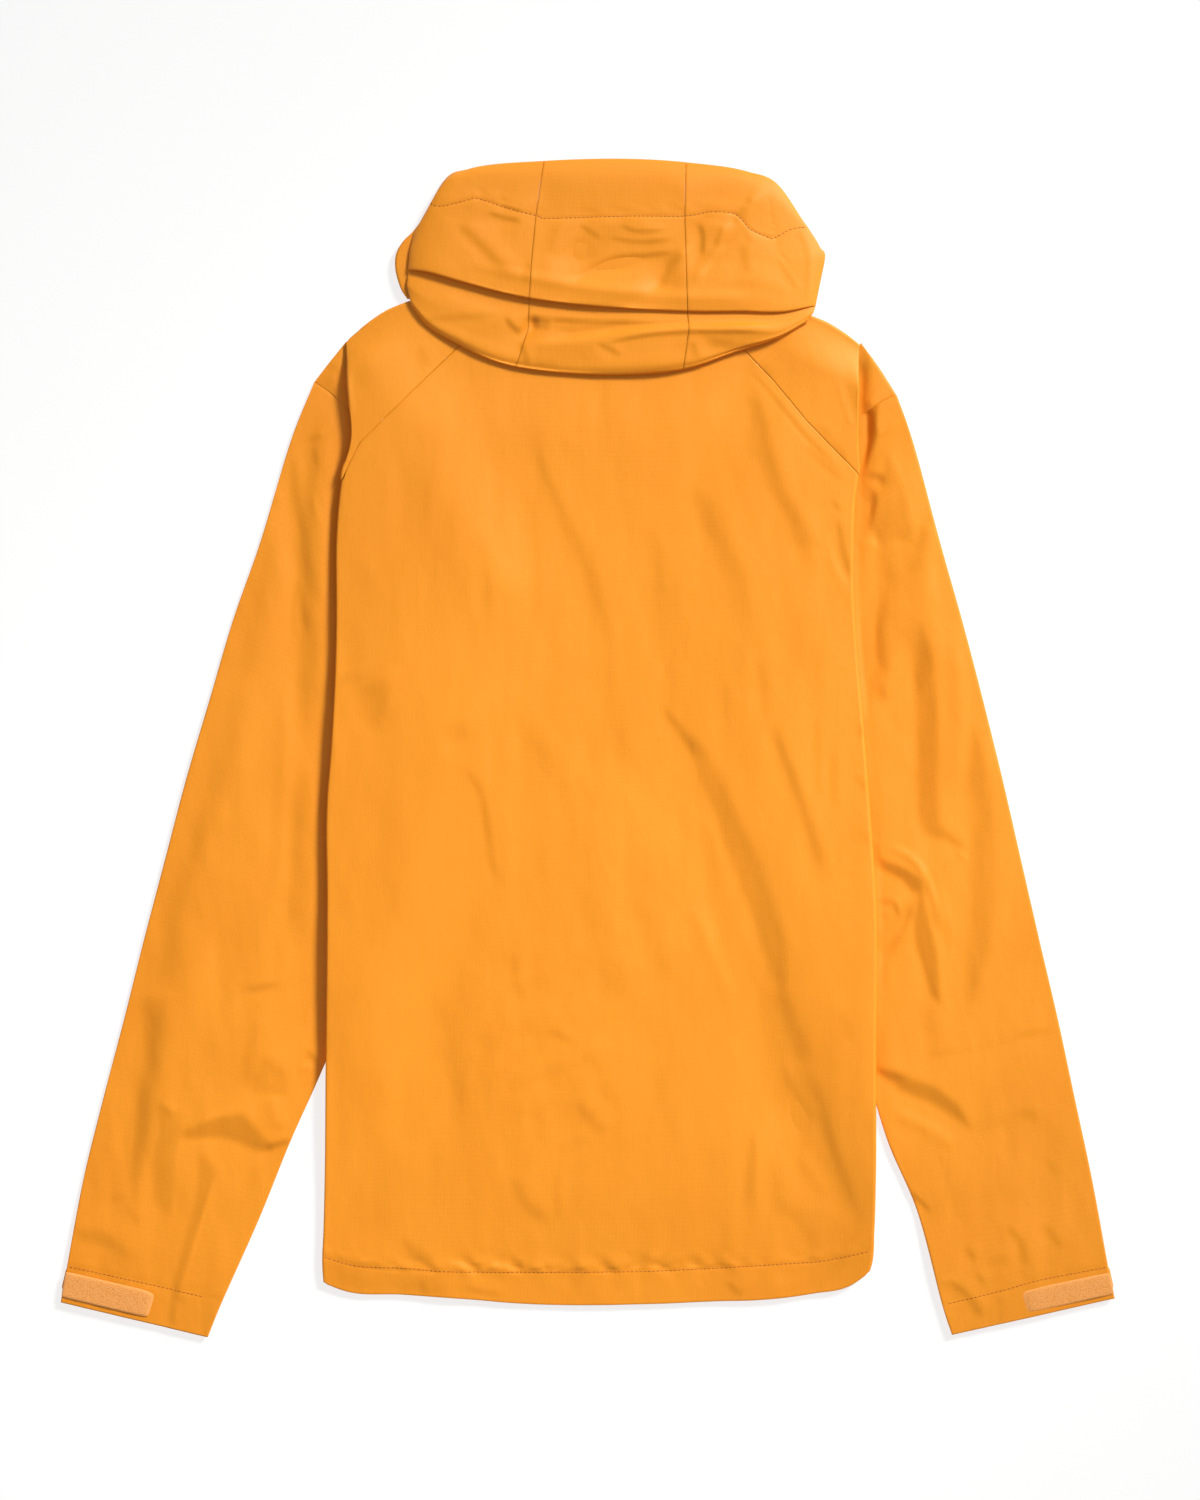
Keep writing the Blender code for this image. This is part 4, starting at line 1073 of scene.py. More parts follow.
def cuffLift(side):
    cuff = sleeves[side][0]

    def lift(outerX, outerY):
        away = np.hypot(outerX - cuff[0], outerY - cuff[1])
        return sleeves["lift"] * (1 - ease((away - 32) / sleeves["ramp"]))

    return lift


cuffLines = {
    "left": ((60, 1265), (69, 1267), (151, 1285), (203, 1297), (228, 1303)),
    "right": ((945, 1305), (949, 1304), (1005, 1290), (1041, 1280), (1110, 1267), (1120, 1265)),
}


sleeveDips = {
    # how deep, how wide, where its middle is, and the share of it that is left below the armhole
    "left": (2.8, 38.0, 0.0, 1.0),
    "right": (3.2, 8.0, -2.0, 0.25),
    "armhole": (120, 60),
    "shoulder": (272, 36, 0.35),
    "pressed": 0.4,
}


def besideBody(side, x, y):
    # beside the body's edge a sleeve sinks, and under that edge it is pressed flat
    deep, wide, middle, lower = sleeveDips[side]
    away = bodyEdge("left", y) - x if side == "left" else x - bodyEdge("right", y)
    start, size = sleeveDips["armhole"]
    dip = deep * mix(lower, 1.0, ease((y - start) / size)) * bell(away, middle, wide)
    start, size, upper = sleeveDips["shoulder"]
    pressed = mix(sleeveDips["pressed"], 1.0, ease((away + 1) / 6))
    return dip * mix(1.0, upper, ease((y - start) / size)), pressed


def sleeveRelief(side):
    creases, seed = sleeveCreases[side], sleeveShape[side]["seed"]
    stitches = roundedLine(cuffLines[side])
    shade = shadeRelief(sleeveShape[side]["box"], creases["slopes"], creases["facets"])

    def relief(x, y):
        wander = softNoise(x, y, 24.0, seed)
        height = shade(x + wander, y) + ridgeHeight(x, y, creases["ridges"])
        height += sleeveShape["crumple"] * crumple(x, y, seed + 3, (1.0, 0.4))
        high, size = sleeveShape["waves"]
        height += high * softNoise(x, y * 0.4, size, seed + 7)
        height += stitchedRelief(sleeveShape, nearestOn(stitches, x, y)[0], x, y, seed + 9)
        dip, pressed = besideBody(side, x, y)
        return np.clip(height, *sleeveShape["limits"]) * pressed - dip

    return relief


def makeSleeve(side):
    rows, cells = sleeves[side], sleeveShape["cells"]
    turnRows, edgeRows = sleeveShape["cuffRows"]
    relief, lift = sleeveRelief(side), cuffLift(side)
    last = len(rows) - 1

    def place(u, v):
        rowPart, up = spans(v, turnRows, edgeRows, sleeveShape["rows"])
        index = np.select([rowPart == 0, rowPart == 1], [sleeveShape["cuffTurn"] * (1 - up), 0.0], up * last)
        inset = np.select([rowPart == 0, rowPart == 1], [0.8, 0.8 * (1 - up)], 0.0)
        inset = inset + seamDrop((last - index) * sleeveShape["station"], 0.25, 1.2)
        return tubePoint(rows, cells, index, u % 1.0, lift, inset, relief)

    piece = clothPiece(
        "sleeve" + side.capitalize(), sum(cells), turnRows + edgeRows + sleeveShape["rows"], place,
        (0.31, 0.74), flip=side == "left", tube=True,
    )
    dress(piece, shellCloth, "shell", "sleeve_" + side)
    return piece


tipShape = {
    "cells": (4, 60, 8, 16, 4),
    "rows": 26,
    "long": 34.0,
    "slopes": ((3.0, 0.2, (331, 363), (336, 371)),),
    "facets": (
        (3.0, 0.35, (861, 366), (869, 362), (867, 400), (876, 408), (861, 418)),
        (3.0, 0.16, (314, 380), (330, 372), (340, 400), (330, 404)),
    ),
}

tipShade = shadeRelief((-210, 240, 110, 320), tipShape["slopes"], tipShape["facets"])


def makeYokeTip(side):
    cells = tipShape["cells"]

    def relief(x, y):
        dip, pressed = besideBody(side, x, y)
        height = np.clip(0.7 * crumple(x, y, 151) + tipShade(x, y), -1.5, 2.4)
        return height * pressed - dip

    def place(u, v):
        index = fineEnds(v, tipShape["rows"], tipShape["long"], (0.0, 0.4, 1.0)) * 2
        inset = seamDrop(index * tipShape["long"] / 2, 0.25, 1.2)
        return tubePoint(yokeTips[side], cells, index, u % 1.0, None, inset, relief)

    piece = clothPiece(
        "yokeTip" + side.capitalize(), sum(cells), tipShape["rows"], place, (0.40, 0.035),
        flip=side == "left", tube=True,
    )
    dress(piece, shellCloth, "shell", "yoke_tip_" + side)
    return piece


cuffPatch = {
    "cells": (84, 34), "long": 68.0, "from": 0.16, "to": 0.9, "start": 0.25, "gap": 0.45, "round": 9.0,
    "layers": (
        # name, how far it rises, its size in both directions, and its material
        ("patchBorder", 0.55, (1.0, 1.0), patchBorder),
        ("patchPile", 0.9, (0.97, 0.91), loopPile),
    ),
    "rimPower": 14,
}


def makePatch(side):
    rows = sleeves[side]
    cells = sleeveShape["cells"]
    shares = np.array(cells) / sum(cells)
    cuffWide = math.hypot(rows[0][0] - rows[0][2], rows[0][1] - rows[0][3])
    first, last = shares[0] * cuffPatch["start"], shares[0] + shares[1] * cuffPatch["long"] / cuffWide

    def surface(rise, shrink):
        def place(u, v):
            a, b = (2 * u - 1) * shrink[0], (2 * v - 1) * shrink[1]
            power = cuffPatch["round"]
            rim = np.maximum(np.abs(a), np.abs(b))
            rounded = rim / np.maximum((np.abs(a) ** power + np.abs(b) ** power) ** (1 / power), 1e-6)
            a, b = a * rounded, b * rounded
            rim = np.clip(rim / max(shrink), 0, 1) ** cuffPatch["rimPower"]
            out = rise * np.sqrt(np.clip(1 - rim, 0, 1))
            around = mix(first, last, (a + 1) / 2)
            index = mix(cuffPatch["from"], cuffPatch["to"], (b + 1) / 2)
            return tubePoint(rows, cells, index, around, cuffLift(side), -(cuffPatch["gap"] + out))
        return place

    for name, rise, shrink, finish in cuffPatch["layers"]:
        piece = clothPiece(
            name + side.capitalize(), *cuffPatch["cells"], surface(rise, shrink), (0.068, 0.022),
            flip=side == "left",
        )
        dress(piece, finish, "patch")
    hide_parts("cuff_patch_" + side)


sleevePieces = {}
for side in ("left", "right"):
    sleevePieces[side] = makeSleeve(side)
    makeYokeTip(side)
    makePatch(side)
print("sleeves, yoke tips and patches made")


cuffTab = {"flat": 0.02, "sharp": 1.2, "round": 0.0003}


def makeTab(side):
    # the tab under the cuff keeps its solid's outline, with rounded edges
    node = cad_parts["cuff_tab_" + side]
    bm = bmesh.new()
    bm.from_mesh(node.data)
    bmesh.ops.remove_doubles(bm, verts=bm.verts, dist=0.00001)
    bmesh.ops.dissolve_limit(bm, angle_limit=cuffTab["flat"], verts=bm.verts, edges=bm.edges)
    inner = [edge for edge in bm.edges if len(edge.link_faces) == 2]
    rim = [edge for edge in inner if edge.calc_face_angle() > cuffTab["sharp"]]
    bmesh.ops.bevel(
        bm, geom=rim, offset=cuffTab["round"], segments=2, profile=0.5, affect="EDGES", material=-1,
    )
    piece = finishPiece("cuffTab" + side.capitalize(), bm)
    dress(piece, shellCloth, "shell", "cuff_tab_" + side)


for side in ("left", "right"):
    makeTab(side)


# ---- yokes over the shoulders

yokeCreases = {
    "left": {
        "slopes": ((4.0, 0.12, (418, 345), (424, 358), (424, 370)), (5.0, 0.08, (365, 350), (362, 390))),
        "ridges": ((3.0, 0.3, (350, 370), (354, 420)),),
    },
    "right": {
        "slopes": (
            (2.2, 0.16, (815, 421), (832, 442), (850, 466)),
            (3.5, 0.14, (762, 362), (774, 380)),
            (7.0, 0.12, (848, 345), (850, 380), (854, 420)),
        ),
        "ridges": ((3.0, 0.25, (835, 380), (848, 430)),),
    },
}


yokeShade = shadeRelief((-210, 212, 200, 345), yokeCreases["left"]["slopes"] + yokeCreases["right"]["slopes"])


def makeYoke(side):
    plan, cells, rows = yokes[side], yokes["cells"], yokes["rows"]
    outward = -1.0 if side == "left" else 1.0
    creases = yokeCreases[side]

    def line(name, share):
        marks = np.linspace(0, 1, len(plan[name]))
        if name == "back":
            return [np.interp(share, marks, column(plan[name], number)) for number in (0, 1)]
        return [curveThrough(marks, column(plan[name], number), share) for number in (0, 1)]

    def place(u, v):
        part, share = spans(u, *cells)
        rowPart, up = spans(v, *rows)
        proper = np.where(part == 0, share, 1.0)
        (bx, by), (rx, ry), (fx, fy) = line("back", proper), line("ridge", proper), line("front", proper)
        size = np.hypot(rx - bx, ry - by)
        overX, overY = (rx - bx) / size, (ry - by) / size
        bx, by = bx + overX * yokes["seamGap"], by + overY * yokes["seamGap"]
        radius = (yokes["ridgeHigh"] - half) / 2
        tx, ty = rx - overX * (half + radius), ry - overY * (half + radius)
        climbed = fineEnds(up, rows[0], yokes["long"], (0.0, 0.4, 1.0)) * (rowPart == 0)
        sx, sy = mix(bx, tx, climbed), mix(by, ty, climbed)
        away = np.hypot(tx - sx, ty - sy)
        level = backLevel(sx, sy) + yokeShade(sx, sy) + yokes["crumple"] * crumple(sx, sy, 171)
        level = level + ridgeHeight(sx, sy, creases["ridges"])
        z0 = mix(yokes["ridgeHigh"], level, ease(away / yokes["rise"]))
        z0 = z0 - seamDrop(climbed * yokes["long"], 0.45, 1.2)
        edge = bodyEdge(side, sy)
        x0 = sx + (edge - outward * (half + yokes["edgeGap"]) - sx) * proper**6 * ease(climbed * 5)
        angle = math.pi * up
        x1, y1 = tx + overX * radius * np.sin(angle), ty + overY * radius * np.sin(angle)
        z1 = half + radius + radius * np.cos(angle)
        x2, y2 = mix(tx, fx, up), mix(ty, fy, up)
        on = [rowPart == 0, rowPart == 1]
        x, y, z = np.select(on, [x0, x1], x2), np.select(on, [sy, y1], y2), np.select(on, [z0, z1], half)
        inX, inY = (np.where(on[1], -over * np.sin(angle), 0.0) for over in (overX, overY))
        inZ = np.select(on, [-1.0, -np.cos(angle)], 1.0)
        climb = np.where(rowPart == 0, away, 0.0)
        drop = np.maximum(z - stripLevel(x, y), yokes["least"]) / 2
        closed, start = yokes["pleat"]
        pleat = mix(closed, 1.0, ease((climb - start) / yokes["rise"]))
        bend = math.pi * pleat * np.select([part == 0, part == 1], [0.0, share], 1.0)
        deep = drop * (1 - np.cos(bend))
        tuck = np.where(part == 2, yokes["tuck"] * share * pleat**3, 0.0)
        sideways = outward * (drop * squash * np.sin(bend) + tuck * np.cos(bend))
        inward = deep + tuck * np.sin(bend)
        return x + sideways + inX * inward, y + inY * inward, z + inZ * inward

    piece = clothPiece(
        "yoke" + side.capitalize(), sum(cells), sum(rows), place, (0.12, 0.20), flip=side == "left",
    )
    dress(piece, shellCloth, "shell", "yoke_" + side)
    return piece


for side in ("left", "right"):
    makeYoke(side)
print("yokes made")


# ---- hood

hood = {
    "shares": (0.0, 0.07, 0.17, 0.36, 0.68, 0.82, 0.93, 1.0),
    "seams": (0.36, 0.68),
    "wide": 320.0,
    "lines": {
        "brim": ((-124, 406), (-109, 432), (-90, 441), (-33, 447), (75, 446), (122, 439), (147, 427),
         (165, 401)),
        "stitch": ((-132, 391), (-115, 412), (-85, 417), (-39, 404), (74, 404), (112, 405), (140, 388),
         (174, 387)),
        "crown": ((-135, 378), (-119, 386), (-91, 386), (-42, 373), (75, 368), (116, 370), (150, 366),
         (181, 374)),
        "fold": ((-136, 364), (-122, 362), (-97, 355), (-44, 342), (76, 332), (118, 332), (152, 332),
         (174, 337)),
        "pleat": ((-137, 352), (-122, 342), (-92, 331), (-45, 319), (77, 318), (118, 317), (148, 318),
         (172, 331)),
        "roll": ((-134, 338), (-122, 322), (-98, 307), (-54, 290), (73, 288), (113, 301), (148, 313),
         (167, 324)),
        "neck": ((-118, 339), (-105, 330), (-86, 321), (-50, 312), (70, 311), (104, 316), (130, 326),
         (152, 336)),
    },
    # start line, end line, part of the way, offset, height, height at the sides
    "path": (
        ("brim", "brim", 0.0, -14.0, 2.2, 1.9),
        ("brim", "brim", 0.0, -2.6, 2.0, 1.9),
        ("brim", "brim", 0.0, 0.0, 3.8, 3.0),
        ("brim", "brim", 0.0, -1.6, 6.2, 4.6),
        ("brim", "stitch", 0.25, 0.0, 9.2, 5.4),
        ("brim", "stitch", 0.7, 0.0, 10.8, 5.8),
        ("stitch", "stitch", 0.0, 0.0, 11.6, 6.0),
        ("stitch", "crown", 0.5, 0.0, 12.6, 6.4),
        ("crown", "crown", 0.0, 0.0, 13.6, 6.8),
        ("crown", "fold", 0.6, 0.0, 14.9, 7.2),
        ("fold", "fold", 0.0, 1.8, 15.2, 7.4),
        ("fold", "fold", 0.0, -0.4, 14.4, 6.9),
        ("fold", "fold", 0.0, 0.2, 13.2, 6.2),
        ("fold", "fold", 0.0, 6.0, 12.0, 5.2),
        ("fold", "fold", 0.0, 10.2, 10.6, 4.4),
        ("fold", "fold", 0.0, 7.6, 9.6, 4.6),
        ("fold", "pleat", 0.25, 0.0, 9.9, 6.4),
        ("fold", "pleat", 0.7, 0.0, 10.9, 7.4),
        ("pleat", "pleat", 0.0, 0.0, 11.4, 7.8),
        ("pleat", "roll", 0.25, 0.0, 11.3, 7.8),
        ("pleat", "roll", 0.5, 0.0, 11.2, 7.8),
        ("pleat", "roll", 0.8, 0.0, 11.3, 7.8),
        ("roll", "roll", 0.0, 1.6, 9.8, 7.4),
        ("roll", "roll", 0.0, 0.3, 8.5, 7.1),
        ("roll", "roll", 0.0, 2.0, 7.4, 6.8),
        ("roll", "neck", 1.0, 0.0, 6.9, 6.8),
    ),
    "stitches": (
        (430, 203), (441, 207), (467, 201), (475, 199), (487, 202), (511, 210), (540, 217), (548, 219),
        (620, 217), (684, 217), (707, 213), (722, 213), (735, 215), (744, 223), (750, 230), (768, 238),
        (775, 238), (790, 230), (805, 227),
    ),
    "sideShare": 0.15,
    "sideOffset": 0.35,
    "rows": 250,
    "crumple": 0.9,
    "crownHigh": 1.5,
    "lowHigh": 1.3,
    "closing": (2.3, 13.2, 25),    # how far, and between which places on the path
    "groove": (0.35, 1.1),
    "gathers": (0.25, 5.0, 4.0, 9.0),
    "topPath": (3.5, 10.6),    # where on the path the crown's creases lie
    "lowPath": (16.4, 22.6),   # and those of the lower roll
    "crownFacets": (
        (4.0, 0.06, (545, 163), (684, 163), (684, 215), (545, 215)),
        (5.0, 0.10, (590, 225), (640, 222), (660, 245), (620, 262), (580, 262), (575, 240)),
        (4.0, 0.12, (664, 262), (682, 252), (683, 290), (672, 292)),
        (5.0, 0.09, (696, 225), (722, 228), (716, 262), (698, 262)),
        (6.0, -0.08, (548, 255), (600, 262), (650, 268), (660, 290), (600, 292), (552, 280)),
        (6.0, -0.06, (440, 215), (500, 225), (520, 262), (480, 262)),
        (5.0, -0.06, (720, 262), (775, 262), (790, 290), (730, 295)),
    ),
    "crownSlopes": (
        (5.0, 0.19, (456, 222), (485, 250), (512, 278)),
        (2.2, 0.23, (487, 213), (505, 219), (523, 222)),
        (1.8, 0.21, (500, 206), (525, 214)),
        (3.0, 0.28, (681, 253), (650, 256), (620, 259), (596, 266), (570, 280)),
        (4.5, 0.23, (684, 252), (672, 266), (664, 280), (667, 292)),
        (2.0, 0.19, (578, 224), (590, 232), (602, 241)),
        (2.0, 0.21, (618, 224), (635, 232), (667, 232)),
        (2.0, 0.19, (606, 238), (640, 243), (676, 240)),
        (2.0, 0.30, (699, 223), (703, 239), (701, 259)),
        (2.5, 0.20, (723, 227), (714, 248)),
        (4.0, 0.11, (742, 244), (746, 277)),
        (2.5, 0.20, (746, 205), (737, 217), (735, 226)),
        (3.0, 0.14, (752, 196), (741, 222)),
        (3.0, 0.12, (530, 262), (524, 286)),
        (5.0, 0.08, (555, 224), (548, 262)),
        (6.0, 0.08, (720, 285), (760, 287), (790, 291)),
        (3.0, -0.17, (728, 240), (706, 268), (694, 280)),
    ),
    "crownRidges": (
        (2.2, 0.75, (800, 228), (810, 256), (808, 306)),
        (2.0, 0.35, (779, 257), (800, 292)),
        (1.6, 0.25, (476, 190), (472, 208)),
        (0.8, -0.35, (767, 181), (770, 207), (774, 236), (782, 257), (791, 275), (802, 288)),
        (6.0, 1.0, (455, 262), (560, 284), (680, 298), (790, 300)),
    ),
    "lowSlopes": (
        (3.0, 0.12, (417, 322), (456, 318), (503, 315)),
        (2.6, 0.34, (505, 318), (514, 328), (522, 334)),
        (3.0, 0.24, (520, 342), (524, 352), (528, 366)),
        (2.8, 0.46, (534, 332), (539, 316), (554, 309)),
        (2.0, 0.34, (598, 347), (620, 341), (650, 336), (690, 333), (740, 333), (782, 333)),
        (2.0, 0.24, (596, 343), (610, 350), (622, 358)),
        (3.0, 0.16, (692, 342), (697, 360)),
        (4.0, 0.14, (708, 340), (735, 347), (760, 343)),
        (4.0, -0.24, (520, 345), (560, 339), (610, 333), (660, 328), (720, 325), (795, 322)),
        (3.0, -0.18, (590, 318), (606, 316), (620, 316)),
    ),
    "lowFacets": (
        (2.0, 0.40, (526, 311), (558, 320), (584, 321), (616, 320), (661, 313), (610, 308), (558, 306)),
        (2.0, 0.30, (532, 314), (552, 314), (548, 330), (534, 328)),
        (3.0, 0.18, (550, 326), (600, 322), (660, 318), (700, 316), (640, 327), (570, 334)),
        (4.0, 0.10, (534, 345), (590, 344), (600, 362), (536, 366)),
        (3.0, 0.12, (700, 334), (786, 332), (770, 346), (712, 352)),
    ),
    "lowRidges": (
        (2.4, 0.4, (690, 322), (740, 321), (790, 323)),
    ),
}


def hoodLine(name, share):
    marks = hood["shares"]
    points = hood["lines"][name]
    return curveThrough(marks, column(points, 0), share), curveThrough(marks, column(points, 1), share)


def hoodPoint(share, way):
    # the path's points at this share of the width, and a smooth curve between the four nearest
    toSide = np.minimum(share, 1 - share) / hood["sideShare"]
    inside = np.sqrt(np.clip(1 - np.clip(1 - toSide, 0, 1) ** 2, 0, 1))
    spots = []
    for start, end, part, offset, z, edgeZ in hood["path"]:
        (ax, ay), (bx, by) = hoodLine(start, share), hoodLine(end, share)
        aside = offset * mix(hood["sideOffset"], 1.0, inside)
        spots.append((mix(ax, bx, part), mix(ay, by, part) + aside, mix(edgeZ, z, inside)))
    spots = np.array(spots)
    last = len(spots) - 1
    index = np.clip(np.floor(way).astype(int), 0, last - 1)
    t = (way - index)[:, None]
    columns = np.arange(len(share))
    before, first = spots[np.maximum(index - 1, 0), :, columns], spots[index, :, columns]
    second, after = spots[index + 1, :, columns], spots[np.minimum(index + 2, last), :, columns]
    x, y, z = smoothStep(t, first, second, (second - before) / 2, (after - first) / 2).T
    return x, y, z, inside


def hoodRows(share):
    # spaces the rows evenly along the path, with a few more round its bends
    middle = np.linspace(0, len(hood["path"]) - 1, 400)
    y, z = hoodPoint(np.full(400, 0.5), middle)[1:3]
    long = np.maximum(np.hypot(np.diff(y), np.diff(z)), 0.22)
    marks = np.concatenate([[0], np.cumsum(long)])
    return np.interp(share * marks[-1], marks, middle)


crownShade = shadeRelief((-150, 188, 325, 450), hood["crownSlopes"], hood["crownFacets"])
lowShade = shadeRelief((-150, 188, 280, 365), hood["lowSlopes"], hood["lowFacets"])


def hoodRelief(x, y, way, inside):
    top, low = hood["topPath"], hood["lowPath"]
    onTop = ease((way - top[0]) / 1.2) * ease((top[1] - way) / 0.8)
    onLow = ease((way - low[0]) / 0.8) * ease((low[1] - way) / 0.8)
    away = nearestOn(roundedLine(hood["stitches"]), x, y)[0]
    height = onTop * (hood["crownHigh"] * crownShade(x, y) + ridgeHeight(x, y, hood["crownRidges"]))
    height += onLow * (hood["lowHigh"] * lowShade(x, y) + ridgeHeight(x, y, hood["lowRidges"]))
    # towards the right the lower roll nearly closes the fold above it
    high, start, end = hood["closing"]
    height += high * ease((way - start) / 1.5) * ease((end - way) / 4) * ease((x + 10) / 70)
    height += (onTop + onLow) * hood["crumple"] * crumple(x, y, 201, (0.6, 0.6))
    height += onTop * stitchedRelief(hood, away, x, y, 205)
    return height * mix(0.4, 1.0, inside)


def makeHoodPanel(name, node, first, last, columns, flat):
    def place(u, v):
        share = mix(first, last, fineEnds(u, columns, (last - first) * hood["wide"]))
        way = hoodRows(v)
        x, y, z, inside = hoodPoint(share, way)
        # each seam's right side is lapped under its left
        seam = seamDrop((share - first) * hood["wide"], 0.55, 1.4) if first > 0 else 0.0
        return x, y, z + hoodRelief(x, y, way, inside) - seam

    piece = clothPiece(name, columns, hood["rows"], place, flat, flip=True)
    dress(piece, shellCloth, "shell", node)
    return piece


firstSeam, lastSeam = hood["seams"]
split = 0.0001
hoodPanels = [
    makeHoodPanel("hoodLeft", "hood_left", 0.0, firstSeam - split, 70, (0.13, 0.26)),
    makeHoodPanel("hoodCentre", "hood_centre", firstSeam + split, lastSeam - split, 66, (0.12, 0.27)),
    makeHoodPanel("hoodRight", "hood_right", lastSeam + split, 1.0, 66, (0.13, 0.26)),
]
print("hood made")


hoodInside = {
    "middle": (17.0, 378.0),
    "half": (122.0, 42.0),
    "low": 4.9,
    "top": 7.4,
    "crown": (3.2, 350, 12),     # rise towards the crown, where it starts, over what length
    "brim": (3.0, 380, 30),      # and the fall towards the brim
    # the layer that shows at the hood's left edge
    "flap": ((-121, 408), (-131, 394), (-139, 386), (-144.5, 376), (-145, 364), (-141, 350), (-136, 342)),
    "flapBack": ((-112, 404), (-116, 392), (-120, 384), (-122, 374), (-122, 364), (-121, 352), (-120, 344)),
    "flapCells": (16, 6, 16, 40),
    "flapLow": 3.6,
    "flapHigh": (5.6, 0.6),
    "flapRound": (1.0, 0.8),
}


def makeHoodInside():
    bm = bmesh.new()
    bmesh.ops.create_cube(bm, size=2.0)
    bmesh.ops.subdivide_edges(bm, edges=bm.edges, cuts=17, use_grid_fill=True)
    a, b, c = np.array([vert.co for vert in bm.verts]).T
    roundA, roundB = a * np.sqrt(1 - b * b / 2), b * np.sqrt(1 - a * a / 2)
    rim = 1 - 0.03 * np.abs(c)
    x, y = (
        middle + size * way * rim
        for middle, size, way in zip(hoodInside["middle"], hoodInside["half"], (roundA, roundB))
    )
    edge = 1 - ease((np.hypot(roundA, roundB) - 0.55) / 0.45)
    crown, brim = (
        high * ease((y - start) / size) for high, start, size in (hoodInside["crown"], hoodInside["brim"])
    )
    top = hoodInside["top"] + edge * crown - brim
    low = hoodInside["low"] + humpAt(x, y)
    z = mix(low, np.maximum(top, low + 1.2), (c + 1) / 2) + 0.3 * softNoise(x, y * 0.5, 18.0, 221)
    for vert, spot in zip(bm.verts, np.stack([x, y, z], 1) / 1000):
        vert.co = spot
    piece = finishPiece("hoodInside", bm)
    dress(piece, shellCloth, "shell", "hood_folds")

    *cells, rows = hoodInside["flapCells"]
    low, (high, bulge), (radius, out) = (hoodInside[key] for key in ("flapLow", "flapHigh", "flapRound"))

    def flap(u, v):
        marks = np.linspace(0, 1, len(hoodInside["flap"]))
        outX, outY, inX, inY = (
            curveThrough(marks, column(hoodInside[line], number), v)
            for line in ("flap", "flapBack") for number in (0, 1)
        )
        part, share = spans(u, *cells)
        on = [part == 0, part == 1]
        run = np.select(on, [share, 1.0], 1 - share)
        x, y = mix(inX, outX, run), mix(inY, outY, run)
        top = high + bulge * np.sin(math.pi * v) * share
        z = np.select(on, [top, low + radius + radius * np.cos(math.pi * share)], low)
        x = x - np.where(part == 1, out * np.sin(math.pi * share), 0.0)
        return x, y, z

    side = clothPiece("hoodSideLayer", sum(cells), rows, flap, (0.05, 0.07), flip=True)
    dress(side, shellCloth, "shell")


makeHoodInside()


# ---- collar and zip, on the side that the jacket lies on

collars = {"lip": 380.0, "left": -139.0, "right": 173.0}
zipShape = {
    "slot": 5.0, "tapeHalf": 16.0, "tapeZ": 2.05, "top": 362.0,
    "pitch": 2.1, "tooth": (2.7, 1.25, 0.9), "toothRise": 0.9, "shift": 1.1,
}


def makeCollar(side):
    outward = -1 if side == "left" else 1
    seam, ridge = yokes[side]["front"][0], yokes[side]["ridge"][0]
    zipX = body["centreX"] + outward * zipShape["slot"]
    marks = (0, 0.5, 0.9, 1.0)
    neck = (
        (zipX, fronts["neckY"]), seam, (ridge[0] - outward, ridge[1] + 1.5), (collars[side], ridge[1] + 4),
    )

    def place(u, v):
        lowX, lowY = np.interp(u, marks, column(neck, 0)), np.interp(u, marks, column(neck, 1)) + 1.3
        x = mix(lowX, mix(zipX, collars[side], u), v)
        y = mix(lowY, collars["lip"], v)
        return x, y, half + humpAt(x, y) + 0.1 * (1 + softNoise(x, y, 22.0, 231))

    piece = clothPiece("collar" + side.capitalize(), 50, 44, place, (0.16, 0.09), flip=side == "left")
    dress(piece, shellCloth, "shell", "collar_" + side)


def makeZip():
    low = float(hemAt(body["centreX"])) + 4

    def place(u, v):
        x = body["centreX"] + mix(-zipShape["tapeHalf"], zipShape["tapeHalf"], u)
        y = mix(low, zipShape["top"], v)
        return x, y, zipShape["tapeZ"] + humpAt(x, y)

    tape = clothPiece("zipTape", 10, 200, place, (0.032, 0.78), flip=True)
    dress(tape, zipWeave, "zip_tape", "zip_tape")

    bm = bmesh.new()
    count = int((zipShape["top"] - low) / zipShape["pitch"] * 2)
    for number in range(count):
        way = -1 if number % 2 else 1
        y = low + 2 + number * zipShape["pitch"] / 2
        x = body["centreX"] + way * zipShape["shift"]
        z = zipShape["tapeZ"] + zipShape["toothRise"] + float(humpAt(x, y))
        made = bmesh.ops.create_cube(bm, size=1.0)["verts"]
        bmesh.ops.scale(bm, verts=made, vec=Vector(zipShape["tooth"]) / 1000)
        inner = [vert for vert in made if vert.co.x * way < 0]
        bmesh.ops.scale(bm, verts=inner, vec=(1.0, 0.62, 0.8))
        bmesh.ops.translate(bm, verts=made, vec=Vector((x, y, z)) / 1000)
    teeth = finishPiece("zipTeeth", bm, smooth=False)
    dress(teeth, zipPlastic, "zip_chain", "zip_chain")


for side in ("left", "right"):
    makeCollar(side)
makeZip()
for node in ("zip_slider", "zip_pull"):
    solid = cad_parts[node]
    solid.data.materials.clear()
    solid.data.materials.append(sliderPaint)
print("collar and zip made")


# ---- stitching

stitching = {
    "hem": ((324, 1257), (357, 1266), (402, 1268), (463, 1272), (620, 1272), (661, 1271), (722, 1268),
     (784, 1264),
            (824, 1261), (869, 1251)),
    "long": 2.5,
    "gap": 0.75,
    "thick": 0.75,
    "above": 0.05,     # metres: where the search for the cloth below starts
    "proud": 0.00008,
}


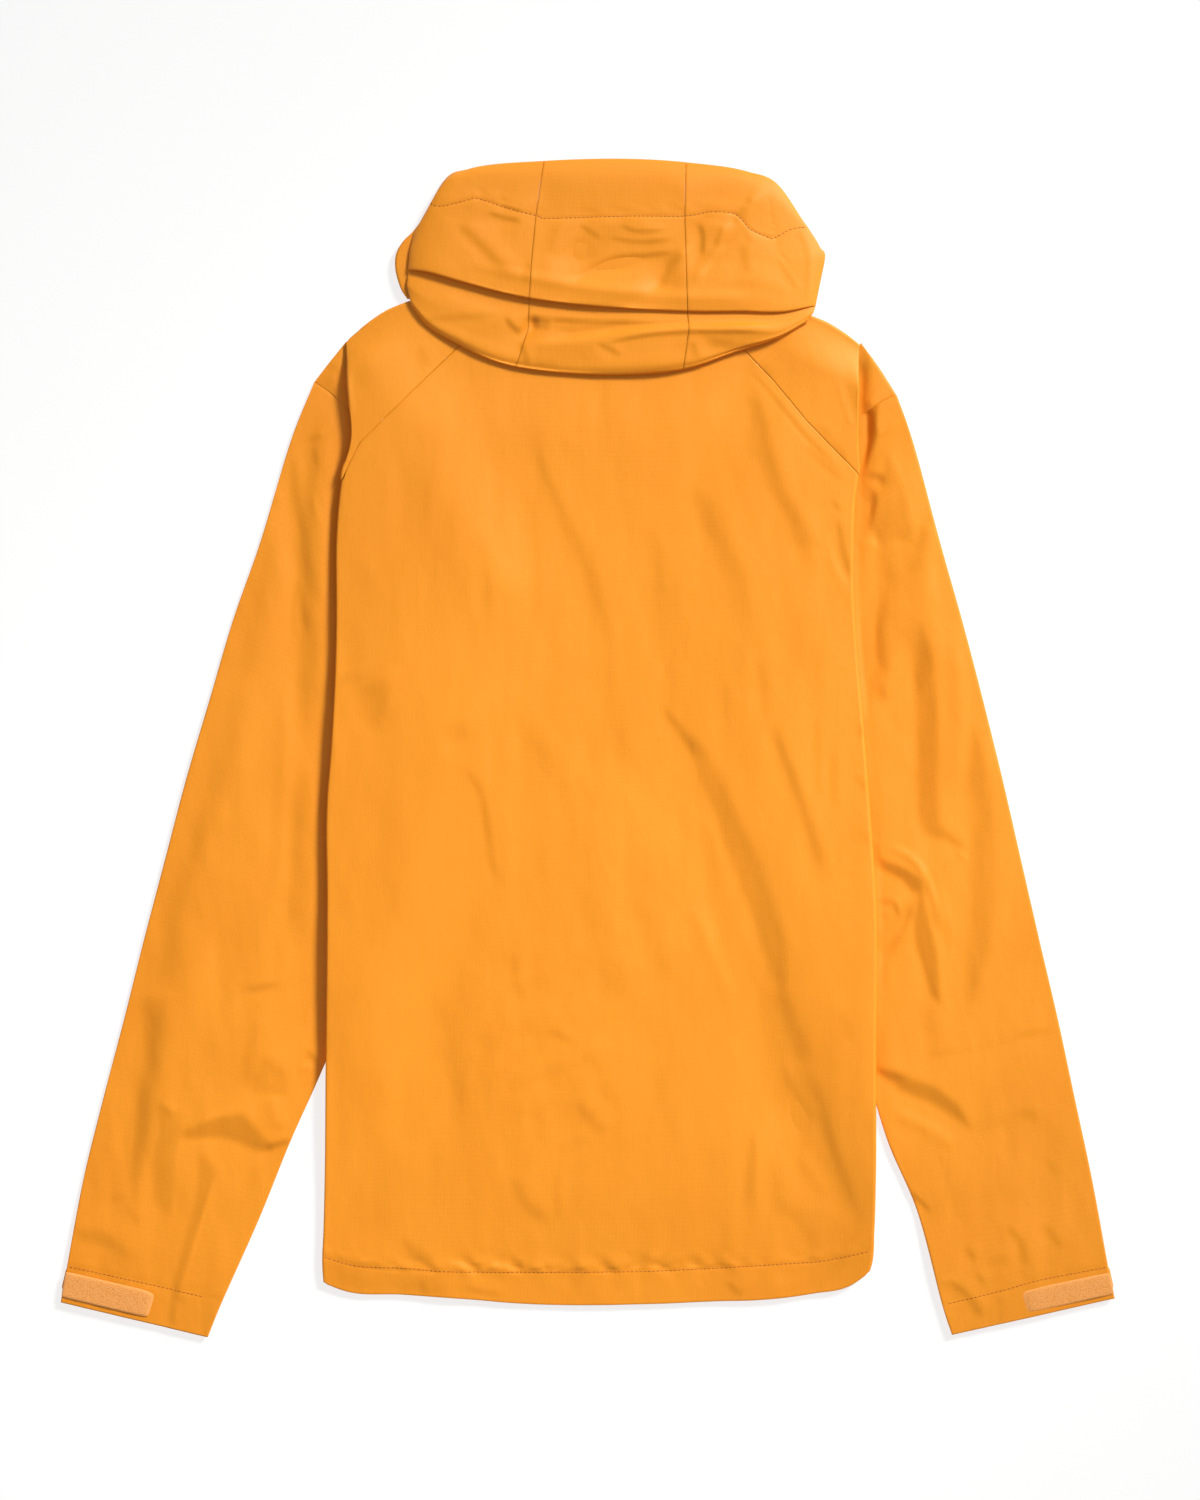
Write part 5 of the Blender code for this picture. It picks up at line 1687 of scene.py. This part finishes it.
def walk(line, step):
    # evenly spaced points along a line, and its direction there
    runs = np.diff(line, axis=0)
    marks = np.concatenate([[0], np.cumsum(np.hypot(runs[:, 0], runs[:, 1]))])
    at = np.arange(step / 2, marks[-1], step)
    x, y = np.interp(at, marks, line[:, 0]), np.interp(at, marks, line[:, 1])
    aheadX, aheadY = np.interp(at + 0.5, marks, line[:, 0]), np.interp(at + 0.5, marks, line[:, 1])
    return x, y, np.arctan2(aheadY - y, aheadX - x)


def stitchRow(name, spots, *carriers):
    x, y, angle = walk(roundedLine(spots), stitching["long"] + stitching["gap"])
    start, down = Vector((0, 0, stitching["above"])), Vector((0, 0, -1))
    size = Vector((stitching["long"], stitching["thick"], stitching["thick"])) / 1000
    depsgraph = bpy.context.evaluated_depsgraph_get()
    trees = [BVHTree.FromObject(piece, depsgraph) for piece in carriers]
    bm = bmesh.new()
    for sx, sy, turn in zip(x, y, angle):
        found = [tree.ray_cast(start + Vector((sx, sy, 0)) / 1000, down) for tree in trees]
        found = [hit[:2] for hit in found if hit[0] is not None]
        if not found:
            continue
        spot, normal = max(found, key=lambda hit: hit[0].z)
        if normal.z < 0:
            normal = -normal
        made = bmesh.ops.create_uvsphere(bm, u_segments=6, v_segments=4, radius=0.5)["verts"]
        bmesh.ops.rotate(bm, verts=made, cent=(0, 0, 0), matrix=Matrix.Rotation(math.pi / 2, 3, "Y"))
        bmesh.ops.scale(bm, verts=made, vec=size)
        bmesh.ops.rotate(bm, verts=made, cent=(0, 0, 0), matrix=Matrix.Rotation(turn, 3, "Z"))
        lean = Vector((0, 0, 1)).rotation_difference(normal).to_matrix()
        bmesh.ops.rotate(bm, verts=made, cent=(0, 0, 0), matrix=lean)
        bmesh.ops.translate(bm, verts=made, vec=spot + normal * stitching["proud"])
    row = finishPiece(name, bm)
    return dress(row, sewingThread, "shell")


stitchRow("hemStitches", stitching["hem"], backPanel)
for side in ("left", "right"):
    stitchRow("cuffStitches" + side.capitalize(), cuffLines[side][1:-1], sleevePieces[side])
stitchRow("brimStitches", hood["stitches"], *hoodPanels)
print("stitching made")
